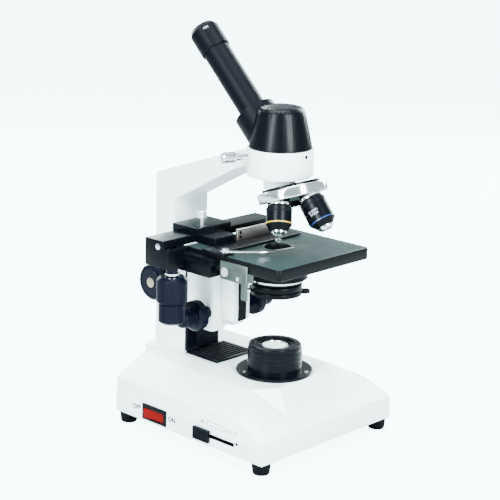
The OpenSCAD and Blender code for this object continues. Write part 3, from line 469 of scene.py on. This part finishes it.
def lettering(name, words, size, where, normal, up, material):
    """Printed words laid flat on a face, as thin as ink, centred on a point."""
    bpy.ops.object.select_all(action="DESELECT")
    bpy.ops.object.text_add()
    piece = bpy.context.object
    piece.name = name
    piece.data.body = words
    piece.data.size = size * MM
    piece.data.align_x = "CENTER"
    piece.data.align_y = "CENTER"
    piece.data.extrude = 0.03 * MM
    piece.data.offset = 0.04 * size * MM
    piece.data.resolution_u = 3
    bpy.ops.object.convert(target="MESH")
    across = Vector(up).cross(Vector(normal)).normalized()
    turn = Matrix((across, Vector(up), Vector(normal))).transposed().to_4x4()
    piece.matrix_world = Matrix.Translation(Vector(where)) @ turn
    only(piece)
    bpy.ops.object.transform_apply(location=True, rotation=True, scale=True)
    piece.data.materials.clear()
    piece.data.materials.append(material)
    return piece


black_ink = coated("black_ink", (0.002, 0.0025, 0.003), (0.02, 0.02, 0.02), 0.6, 900, 0.02, 0.1, 0, 0.1)
white_ink = coated("white_ink", (0.4, 0.46, 0.48), (0.4, 0.4, 0.4), 0.5, 900, 0.02, 0.1)

# ---------------------------------------------------------------------------
# Side markings
# OFF and ON beside the rocker, and a wedge with its two letters over the
# dimmer's slot, screen printed on the enamel.
# ---------------------------------------------------------------------------
bezel_low, bezel_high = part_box("switch_bezel")
base_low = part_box("base_casting")[0]
SIDE_LEAN = 1.5 / 33.5
SIDE_NORMAL = Vector((-1, 0, SIDE_LEAN)).normalized()
SIDE_UP = Vector((SIDE_LEAN, 0, 1)).normalized()


def on_side(y, z):
    """A point a hair outside the base's left face."""
    return Vector((base_low.x + SIDE_LEAN * (z - base_low.z) - 0.04 * MM, y, z))


label_z = (bezel_low.z + bezel_high.z) / 2 + 1 * MM
for name, words, y in (("off_mark", "OFF", bezel_high.y + 9 * MM), ("on_mark", "ON", bezel_low.y - 7 * MM)):
    fitted(lettering(name, words, 6.2, on_side(y, label_z), SIDE_NORMAL, SIDE_UP, black_ink),
           "root", "black_plastic")

knob_low, knob_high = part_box("dimmer_knob")
wedge_z = knob_high.z + 4 * MM
wedge_back = (knob_low.y + knob_high.y) / 2 - 4 * MM
wedge_front = wedge_back - 33 * MM
bpy.ops.object.select_all(action="DESELECT")
bpy.ops.mesh.primitive_plane_add(size=1)
wedge = bpy.context.object
wedge.name = "dimmer_wedge"
corners = [on_side(wedge_front, wedge_z + 0.2 * MM), on_side(wedge_back, wedge_z - 0.6 * MM),
           on_side(wedge_front, wedge_z + 2.4 * MM), on_side(wedge_back, wedge_z + 4.8 * MM)]
for vertex, corner in zip(wedge.data.vertices, corners):
    vertex.co = corner
only(wedge)
bpy.ops.object.mode_set(mode="EDIT")
bpy.ops.mesh.select_all(action="SELECT")
bpy.ops.mesh.inset(thickness=0.5 * MM)
bpy.ops.mesh.delete(type="ONLY_FACE")
bpy.ops.object.mode_set(mode="OBJECT")
ink = wedge.modifiers.new("ink", "SOLIDIFY")
ink.thickness = 0.06 * MM
bpy.ops.object.modifier_apply(modifier="ink")
wedge.data.materials.append(black_ink)
fitted(wedge, "root", "black_plastic")
for name, words, y in (("high_mark", "H", wedge_back + 5.5 * MM), ("low_mark", "L", wedge_front - 4.5 * MM)):
    fitted(lettering(name, words, 5, on_side(y, wedge_z + 1.5 * MM), SIDE_NORMAL, SIDE_UP, black_ink),
           "root", "black_plastic")
slot_z = (knob_low.z + knob_high.z) / 2
slot_front, slot_back = knob_low.y - 30 * MM, knob_high.y + 1 * MM
# Painted shade: thin black sheets on the top and bottom walls of the dimmer's slot darken the recess.
for number, height in enumerate((-1.86, 1.86)):
    bpy.ops.object.select_all(action="DESELECT")
    bpy.ops.mesh.primitive_cube_add(size=1, location=(
        on_side(0, slot_z).x + 2.7 * MM, (slot_front + slot_back) / 2, slot_z + height * MM))
    shade_sheet = bpy.context.object
    shade_sheet.name = "slot_painted_shade_%d" % number
    shade_sheet.scale = (5 * MM, slot_back - slot_front, 0.24 * MM)
    bpy.ops.object.transform_apply(location=True, rotation=False, scale=True)
    shade_sheet.data.materials.append(black_ink)
    fitted(shade_sheet, "root", "black_plastic")
dot = turned("dimmer_dot", [(1.5, 0), (1.5, 0.04), (0.3, 0.04)], black_ink, 24)
laid(dot, on_side(wedge_front - 6 * MM, slot_z + 2 * MM), SIDE_NORMAL)
fitted(dot, "root", "black_plastic")
softened("dimmer_knob", 0.35 * MM, black_moulding, 2, 40)

# ---------------------------------------------------------------------------
# Column slide, bushes and bolts
# A black dovetail screwed to the column's front guides the focus housing.
# Brass bushes carry the coarse shaft through the column.
# ---------------------------------------------------------------------------
brass = polished("brass", (0.72, 0.52, 0.24), 0.25, (1, 1, 0.1), 0.08)
softened("column_rail", 0.4 * MM, black_satin, 2, 40)
keep("shaft_bushes", brass)
keep("column_bolts", steel)

# ---------------------------------------------------------------------------
# Focus housing and the fine slide
# White castings: the housing runs up and down the column, and carries the
# slide that holds the stage.
# ---------------------------------------------------------------------------
softened("focus_housing", 1.2 * MM, white_enamel, 3, 30)
softened("fine_slide", 0.8 * MM, white_enamel, 3, 40)
keep("slide_strip", black_satin)
keep("coarse_rack", brass)
keep("coarse_shaft", steel)
keep("fine_shaft", steel)

# ---------------------------------------------------------------------------
# Focus knobs
# Moulded in dark plastic with a knurled grip, one pair on each shaft. The
# coarse pair has brass screws in its faces, the fine pair steel ones.
# ---------------------------------------------------------------------------
pale_brass = polished("pale_brass", (0.42, 0.36, 0.27), 0.3, (1, 1, 0.1), 0.08)
knob_plastic = coated("knob_plastic", (0.001, 0.0016, 0.0056), (0.008, 0.011, 0.026), 0.3, 1000, 0.06, 0.5,
                      0, 0.09)


def knurled(piece, low, high, depth, inner=0.0):
    """Presses every second face of the rim between two heights inwards, while it stands on +Z."""
    mesh = piece.data
    only(piece)
    for polygon in mesh.polygons:
        polygon.select = False
    for polygon in mesh.polygons:
        centre = polygon.center
        upright = abs(polygon.normal.z) < 0.3
        outer = math.hypot(centre.x, centre.y) > inner * MM
        if upright and outer and low * MM < centre.z < high * MM:
            sides = round(2 * math.pi / max(abs(span(mesh, polygon)), 0.001))
            column = math.floor((math.atan2(centre.y, centre.x) % (2 * math.pi)) / (2 * math.pi) * sides)
            polygon.select = column % 2 == 0
    bpy.ops.object.mode_set(mode="EDIT")
    bpy.ops.mesh.select_mode(type="FACE")
    bpy.ops.mesh.inset(thickness=0.12 * MM, use_individual=True)
    bpy.ops.transform.shrink_fatten(value=-depth * MM)
    bpy.ops.mesh.select_all(action="DESELECT")
    bpy.ops.object.mode_set(mode="OBJECT")
    bpy.ops.object.shade_smooth_by_angle(angle=math.radians(32))
    return piece


def span(mesh, polygon):
    """The angle that a rim face takes about +Z."""
    angles = [math.atan2(mesh.vertices[i].co.y, mesh.vertices[i].co.x) for i in polygon.vertices]
    turn = (max(angles) - min(angles)) % (2 * math.pi)
    return min(turn, 2 * math.pi - turn)


coarse_low, coarse_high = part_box("coarse_knobs")
coarse_axis = Vector((0, (coarse_low.y + coarse_high.y) / 2, (coarse_low.z + coarse_high.z) / 2))
grip_r = (coarse_high.z - coarse_low.z) / 2 / MM
for side, name in ((-1, "left"), (1, "right")):
    reach = coarse_high.x / MM
    knob = turned("coarse_knob_" + name, [
        (10, 22.9), (10, reach - 14), (grip_r - 1.2, reach - 14), (grip_r, reach - 13), (grip_r, reach - 3),
        (grip_r - 1.3, reach - 1.4), (grip_r - 3.4, reach - 0.8), (grip_r - 4, reach - 1.6),
        (grip_r - 5, reach - 1.6), (grip_r - 5.6, reach - 0.3), (7, reach - 0.3), (6.6, reach - 0.8),
        (5.2, reach - 0.8), (0.4, reach - 0.9)], knob_plastic, 120)
    knurled(knob, reach - 13, reach - 3, 0.55, 12)
    laid(knob, coarse_axis, (side, 0, 0))
    fitted(knob, "coarse_drive", "knob_plastic", "coarse_knobs")
    cap = turned("coarse_cap_" + name, [(4.9, reach - 0.85), (4.9, reach - 0.15), (4.3, reach + 0.0),
                                        (0.3, reach + 0.0)], pale_brass, 48)
    laid(cap, coarse_axis, (side, 0, 0))
    fitted(cap, "coarse_drive", "brass")

fine_low, fine_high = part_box("fine_knobs")
fine_axis = Vector((0, (fine_low.y + fine_high.y) / 2, (fine_low.z + fine_high.z) / 2))
disc_r = (fine_high.z - fine_low.z) / 2 / MM
for side, name in ((-1, "left"), (1, "right")):
    end = fine_high.x / MM
    knob = turned("fine_knob_" + name, [
        (5.9, 24.2), (5.9, 35.6), (disc_r - 1.2, 35.6), (disc_r, 36.6), (disc_r, 43.6), (disc_r - 1, 45),
        (disc_r - 3.2, 46.3), (9.2, 46.5), (9, 47.4), (8.4, 47.8), (8.4, 49.6), (9, 50), (9, end - 4),
        (8.4, end - 2.4),
        (7.2, end - 1.6), (5.2, end - 1.4), (4.9, end - 2), (0.4, end - 2)], knob_plastic, 96)
    knurled(knob, 36.6, 43.6, 0.45, 12)
    knurled(knob, 50, end - 4, 0.35, 8)
    laid(knob, fine_axis, (side, 0, 0))
    fitted(knob, "fine_drive", "knob_plastic", "fine_knobs")
    cap = turned("fine_cap_" + name, [(4.4, end - 2.05), (4.4, end - 0.6), (3.8, end - 0.1), (0.3, end - 0.1)],
                 steel, 48)
    laid(cap, fine_axis, (side, 0, 0))
    fitted(cap, "fine_drive", "steel")

# ---------------------------------------------------------------------------
# Stage and its bracket
# The black stage plate is finished flat by grinding on top; its grey-green sheen is a painted reflection, a
# lighter colour on the top face.
# The bracket under it is bare cast zinc alloy with its screws sunk in.
# ---------------------------------------------------------------------------
stage_black = coated("stage_black", (0.001, 0.0016, 0.002), (0.012, 0.016, 0.016), 0.36, 1500, 0.2, 0.3,
                     0, 0.09)
# Painted reflection: faces that point up get a grey-green colour for the sheen on the top; the edges stay
# black.
upward, upward_in, upward_out = effect("upward_face", {}, {"Mask": FLOAT})
upward.nodes.remove(upward_in)
flat = upward.nodes.new("ShaderNodeNewGeometry")
split = upward.nodes.new("ShaderNodeSeparateXYZ")
level = upward.nodes.new("ShaderNodeMapRange")
level.inputs["From Min"].default_value = 0.9
level.inputs["From Max"].default_value = 0.98
upward.links.new(flat.outputs["Normal"], split.inputs["Vector"])
upward.links.new(split.outputs["Z"], level.inputs["Value"])
upward.links.new(level.outputs["Result"], upward_out.inputs["Mask"])
nodes, links = stage_black.node_tree.nodes, stage_black.node_tree.links
shader = nodes["Principled BSDF"]
worn = shader.inputs["Base Color"].links[0].from_socket
painted_sheen = nodes.new("ShaderNodeMix")
painted_sheen.data_type = "RGBA"
painted_sheen.inputs["B"].default_value = (0.011, 0.0215, 0.021, 1)
links.new(add_effect(stage_black, upward).outputs["Mask"], painted_sheen.inputs["Factor"])
links.new(worn, painted_sheen.inputs["A"])
links.new(painted_sheen.outputs["Result"], shader.inputs["Base Color"])
cast_zinc = polished("cast_zinc", (0.09, 0.11, 0.108), 0.42, (1, 1, 0.15), 0.2)
softened("stage_plate", 0.9 * MM, stage_black, 3, 40)
softened("stage_bracket", 0.5 * MM, cast_zinc, 2, 40)
keep("bracket_screws", steel)
keep("stage_rack", black_satin)

# ---------------------------------------------------------------------------
# Mechanical stage
# Two black slides with a cross bar, moved by coaxial knurled knobs that hang
# at the left. A bright upright and a sprung finger hold the slide.
# ---------------------------------------------------------------------------
chrome = polished("chrome", (0.83, 0.85, 0.86), 0.1, (1, 1, 1), 0.02)
bright_strip = polished("bright_strip", (0.5, 0.44, 0.41), 0.3, (0.05, 1, 1), 0.08)
for node in ("y_carriage", "cross_bar", "x_carriage"):
    softened(node, 0.6 * MM, black_enamel, 3, 40)
softened("slide_holder", 0.35 * MM, black_enamel, 2, 40)
softened("holder_upright", 0.3 * MM, bright_strip, 2, 40)
softened("spring_finger", 0.2 * MM, chrome, 2, 40)
keep("finger_screw", chrome)

bar_low, bar_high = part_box("cross_bar")
end_screw = turned("end_block_screw", [(3, 0), (3, 0.5), (2.4, 0.8), (0.3, 0.8)], chrome, 32)
laid(end_screw, Vector((bar_low.x, bar_high.y - 17.5 * MM, bar_high.z - 6 * MM)), (-1, 0, 0))
fitted(end_screw, "y_carrier", "chrome")
upright_low, upright_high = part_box("holder_upright")
for number, height in enumerate((0.33, 0.72)):
    head = turned("upright_screw_%d" % number, [(1.5, 0), (1.5, 0.4), (1, 0.7), (0.3, 0.7)], black_satin, 24)
    laid(head, Vector((upright_low.x + 3.5 * MM, upright_low.y,
                       upright_low.z + height * (upright_high.z - upright_low.z))), (0, -1, 0))
    fitted(head, "x_carrier", "black_paint")

upper_low, upper_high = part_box("upper_stage_knob")
stage_axis = Vector(((upper_low.x + upper_high.x) / 2, (upper_low.y + upper_high.y) / 2, 0))
grip_r = (upper_high.x - upper_low.x) / 2 / MM
foot = upper_low.z / MM
knob = turned("upper_stage_grip", [
    (2.7, foot), (grip_r - 1.4, foot), (grip_r, foot + 1.2), (grip_r, foot + 21.5), (grip_r - 1, foot + 23),
    (grip_r - 3.6, foot + 25.3), (6.6, foot + 25.3), (5.9, foot + 26), (5.9, foot + 28.4), (5.5, foot + 29),
    (5.5, foot + 34.3), (4.5, foot + 34.3), (4.5, upper_high.z / MM), (2.7, upper_high.z / MM), (2.7, foot)],
    knob_plastic, 96, False, False)
knurled(knob, foot + 1.2, foot + 21.5, 0.5, 12)
laid(knob, stage_axis)
fitted(knob, "y_knob", "knob_plastic", "upper_stage_knob")
collar = turned("upper_stage_collar", [(5.95, foot + 26.3), (6.7, foot + 26.3), (6.7, foot + 28.2),
                                       (5.95, foot + 28.2), (5.95, foot + 26.3)], chrome, 64, False, False)
laid(collar, stage_axis)
fitted(collar, "y_knob", "chrome")

lower_low, lower_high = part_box("lower_stage_knob")
grip_r = (lower_high.x - lower_low.x) / 2 / MM
foot, head_z = lower_low.z / MM, lower_high.z / MM
knob = turned("lower_stage_grip", [
    (3, foot + 0.6), (grip_r - 5, foot + 0.6), (grip_r - 5.4, foot), (grip_r - 2.4, foot), (grip_r, foot + 2),
    (grip_r, foot + 18.8), (grip_r - 1, foot + 20), (2.5, foot + 20), (2.5, head_z - 7), (6, head_z - 7),
    (6, head_z), (0.4, head_z)], knob_plastic, 96)
knurled(knob, foot + 2, foot + 18.8, 0.5, 9)
laid(knob, stage_axis)
fitted(knob, "x_knob", "knob_plastic", "lower_stage_knob")

thumb_low, thumb_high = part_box("thumb_screw")
thumb_axis = Vector(((thumb_low.x + thumb_high.x) / 2, (thumb_low.y + thumb_high.y) / 2, 0))
foot, top = thumb_low.z / MM, thumb_high.z / MM
screw = turned("thumb_screw_turned", [(2, foot), (2, foot + 5.4), (3.6, foot + 6), (4.2, foot + 6.6),
                                      (4.2, top - 0.7), (3.5, top), (0.3, top)], chrome, 48)
knurled(screw, foot + 6.6, top - 0.7, 0.3, 3)
laid(screw, thumb_axis)
fitted(screw, "thumb", "chrome", "thumb_screw")

# ---------------------------------------------------------------------------
# Condenser
# A black barrel under the stage with its lens and a bright band, a black iris
# ring with a bright lever tip, and a filter frame that swings out on a pin.
# ---------------------------------------------------------------------------
keep("condenser_mount", black_satin)
keep("condenser_body", black_enamel)
keep("condenser_lens", clear_glass)
softened("iris_ring", 0.3 * MM, black_enamel, 2, 40)
softened("filter_ring", 0.3 * MM, black_enamel, 2, 40)
iris = next(joint for joint in frame["joints"] if joint["name"] == "iris_turn")
iris_axis = Vector((iris["pos_m"][0], iris["pos_m"][1], 0))
iris_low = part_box("iris_ring")[0]
lever_out = math.radians(172)
lever = turned("iris_lever_tip", [(1.9, 0), (2.5, 0.5), (2.5, 3.1), (1.9, 3.6), (0.3, 3.6)], chrome, 32)
tip_r = iris_axis.x - iris_low.x - 2.4 * MM
laid(lever, Vector((iris_low.x + 2.4 * MM, iris_axis.y - tip_r * math.tan(lever_out), iris_low.z + 0.42 * MM)))
fitted(lever, "iris", "chrome")
BARREL_TOP_BAND = 3.4
band_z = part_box("condenser_body")[0].z / MM + BARREL_TOP_BAND
band = turned("condenser_band", [(24.6, band_z), (25.25, band_z), (25.25, band_z + 2.4), (24.6, band_z + 2.4),
                                 (24.6, band_z)], chrome, 96, False, False)
laid(band, iris_axis)
fitted(band, "stage", "chrome")

# ---------------------------------------------------------------------------
# Nosepiece
# A plated dome that turns on a black mount, its rim knurled for the fingers.
# ---------------------------------------------------------------------------
keep("nosepiece_mount", black_enamel)
keep("turret_ring", chrome)
nose = next(joint for joint in frame["joints"] if joint["name"] == "nosepiece_turn")
nose_centre = Vector(nose["pos_m"])
nose_axis = Vector(nose["axis"])
rim_r = 32.7
rim = turned("turret_rim", [
    (27.5, -6.35), (rim_r - 1.6, -6.35), (rim_r - 0.4, -5.9), (rim_r, -5.1), (rim_r, -1.2), (rim_r - 0.5, -0.9),
    (rim_r - 0.5, -0.3), (rim_r, 0), (rim_r, 2), (rim_r - 0.3, 2.8), (rim_r - 1, 3.25), (29.4, 3.25),
    (29.4, -3), (27.5, -3.2), (27.5, -6.35)], chrome, 180, False, False)
knurled(rim, 0, 2, 0.3, 31)
laid(rim, nose_centre, nose_axis)
fitted(rim, "turret", "chrome")

# ---------------------------------------------------------------------------
# Objectives
# Four black barrels with a knurled grip, a coloured ring for the power and a
# bright nose. Their numerals are engraved and filled with white.
# ---------------------------------------------------------------------------
TILT = math.radians(20)
SEAT_R, SEAT_T = 19.5, 4
barrel_r = 11.9
sideways = Vector((1, 0, 0))
forward = nose_axis.cross(sideways)


def seat(turn):
    """Place and direction of the seat that is turned that far round the nosepiece."""
    out = -math.cos(turn) * forward + math.sin(turn) * sideways
    where = nose_centre + (SEAT_R * out + SEAT_T * nose_axis) * MM
    return where, (nose_axis * math.cos(TILT) + out * math.sin(TILT)).normalized()


def wrapped(name, words, size, radius, height, middle, material):
    """Engraved words wrapped round a barrel that stands on +Z, centred on one angle."""
    bpy.ops.object.select_all(action="DESELECT")
    bpy.ops.object.text_add()
    piece = bpy.context.object
    piece.name = name
    piece.data.body = words
    piece.data.size = size * MM
    piece.data.align_x = "CENTER"
    piece.data.align_y = "CENTER"
    piece.data.resolution_u = 2
    bpy.ops.object.convert(target="MESH")
    ink = piece.modifiers.new("ink", "SOLIDIFY")
    ink.thickness = 0.08 * MM
    bpy.ops.object.modifier_apply(modifier="ink")
    for vertex in piece.data.vertices:
        angle = middle + vertex.co.x / (radius * MM)
        out = radius * MM + vertex.co.z + 0.06 * MM
        vertex.co = (out * math.cos(angle), out * math.sin(angle), height * MM + vertex.co.y)
    piece.data.materials.clear()
    piece.data.materials.append(material)
    return piece


def facing(direction):
    """The angle about a piece's own +Z that looks to the front left when it is laid along a direction."""
    turn = Vector(direction).to_track_quat("Z", "Y").to_matrix()
    seen_from = turn.transposed() @ Vector((-0.72, -0.66, 0.2))
    return math.atan2(seen_from.y, seen_from.x)


def objective(name, node, turn, length, nose_r, nose_l, ring, ring_at, numeral, numeral_turn, tip_metal):
    """One objective, turned about +Z from its seat to its front lens, then screwed into the nosepiece."""
    end = length - nose_l
    where, direction = seat(turn)
    grip = 7.6
    body = turned(name + "_barrel", [
        (8, -3.9), (8, 0), (9.5, 0), (9.5, 6), (barrel_r - 0.4, 6.2), (barrel_r, 6.8), (barrel_r, grip),
        (barrel_r, grip + 2.6), (barrel_r - 0.4, grip + 3), (barrel_r - 0.1, grip + 3.4),
        (barrel_r - 0.1, end - 1), (barrel_r - 0.5, end - 0.4), (barrel_r - 1, end),
        (nose_r + 2.2, length - 3.4), (nose_r + 1.9, length - 3), (0.4, length - 3)],
        black_enamel, 96, False, False)
    knurled(body, grip, grip + 2.6, 0.3, 11)
    collar = turned(name + "_collar", [(9.5, 2), (10.6, 2.2), (10.6, 4.6), (9.5, 4.8), (9.5, 2)], chrome, 96,
                    False, False)
    tip = turned(name + "_tip", [
        (nose_r + 1.8, length - 3), (nose_r + 1.5, length - 1.6), (nose_r + 0.8, length - 1.2),
        (nose_r, length - 0.2), (nose_r - 0.4, length), (nose_r - 2, length), (nose_r - 2, length - 1.9),
        (0.4, length - 1.9)], tip_metal, 64)
    band = turned(name + "_band", [
        (barrel_r - 0.3, ring_at), (barrel_r + 0.05, ring_at + 0.1), (barrel_r + 0.05, ring_at + 1.1),
        (barrel_r - 0.3, ring_at + 1.2), (barrel_r - 0.3, ring_at)], ring, 96, False, False)
    engraved = wrapped(name + "_numeral", numeral, 2.9, barrel_r - 0.1, (grip + 3.4 + end - 2) / 2,
                       facing(direction) + math.radians(numeral_turn), white_ink)
    for piece, slot in ((body, "black_paint"), (collar, "chrome"), (tip, "chrome"), (band, "black_plastic"),
                        (engraved, "frosted")):
        laid(piece, where, direction)
        fitted(piece, "turret", slot, *([node] if piece == body else []))


red_ring = coated("red_ring", (0.2, 0.002, 0.002), (0.3, 0.03, 0.03), 0.35, 900, 0.02, 0.1)
yellow_ring = coated("yellow_ring", (0.42, 0.27, 0.01), (0.5, 0.35, 0.05), 0.35, 900, 0.02, 0.1)
blue_ring = coated("blue_ring", (0.003, 0.016, 0.1), (0.03, 0.05, 0.15), 0.35, 900, 0.02, 0.1)
pale_ring = coated("pale_ring", (0.8, 0.82, 0.82), (0.8, 0.8, 0.8), 0.35, 900, 0.02, 0.1, 0.3)
objective("low_power", "objective_4x", 0, 28, 8, 5, red_ring, 19.6, "4/0.1", 120, black_enamel)
objective("medium_power", "objective_10x", -math.pi / 2, 31.5, 5.5, 8, yellow_ring, 20.6, "10/0.25", 120,
          chrome)
objective("high_power", "objective_40x", math.pi, 36.5, 5.5, 7, blue_ring, 27, "40/0.65\n160/0.17", 20, chrome)
objective("oil_power", "objective_100x", math.pi / 2, 37.2, 5, 8, pale_ring, 26, "100/1.25", 0, chrome)
keep("front_lenses", clear_glass)

# ---------------------------------------------------------------------------
# Head, tube and eyepiece
# A black cast head turns in the arm's ring and carries the inclined tube.
# The eyepiece slips into the tube and has a ribbed cap.
# ---------------------------------------------------------------------------
softened("head", 0.4 * MM, black_enamel, 2, 50)
keep("prism", clear_glass)
keep("tube_collar", black_satin)
keep("eyepiece_tube", black_satin)
keep("eyepiece", black_moulding)
keep("eyepiece_lenses", clear_glass)
lift = next(joint for joint in frame["joints"] if joint["name"] == "eyepiece_lift")
cap_low, cap_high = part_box("eyepiece")
mark = wrapped("eyepiece_mark", "10X", 3.4, 14.5, 20, facing(lift["axis"]) + 0.2, white_ink)
laid(mark, (cap_low + cap_high) / 2, lift["axis"])
fitted(mark, "eyepiece_body", "frosted")
head_axis = next(joint for joint in frame["joints"] if joint["name"] == "head_turn")
grub = turned("ring_grub_screw", [(1.8, 0), (1.8, 0.25), (1.4, 0.35), (0.3, 0.35)], black_ink, 24)
HEAD_RING_R = 31 * MM
ring_centre = Vector(head_axis["pos_m"])
ring_front = math.radians(-88)
ring_out = Vector((math.cos(ring_front), math.sin(ring_front), 0))
grub_place = ring_centre + HEAD_RING_R * ring_out
grub_place.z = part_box("arm")[1].z - 4.5 * MM
laid(grub, grub_place, ring_out)
fitted(grub, "root", "black_plastic")

# ---------------------------------------------------------------------------
# Clamp screw
# A bright knurled screw through the ring holds the turning head.
# ---------------------------------------------------------------------------
clamp = next(joint for joint in frame["joints"] if joint["name"] == "clamp_turn")
screw = turned("clamp_screw_turned", [
    (2.5, 22.6), (2.5, 40), (3.4, 40), (3.4, 44.4), (2.8, 44.8), (2.8, 45.4), (4.6, 45.8), (5, 46.4), (5, 57.8),
    (4.2, 58.8), (0.4, 58.8)], chrome, 60)
knurled(screw, 46.4, 57.8, 0.35, 4)
laid(screw, clamp["pos_m"], clamp["axis"])
fitted(screw, "clamp", "chrome", "clamp_screw")
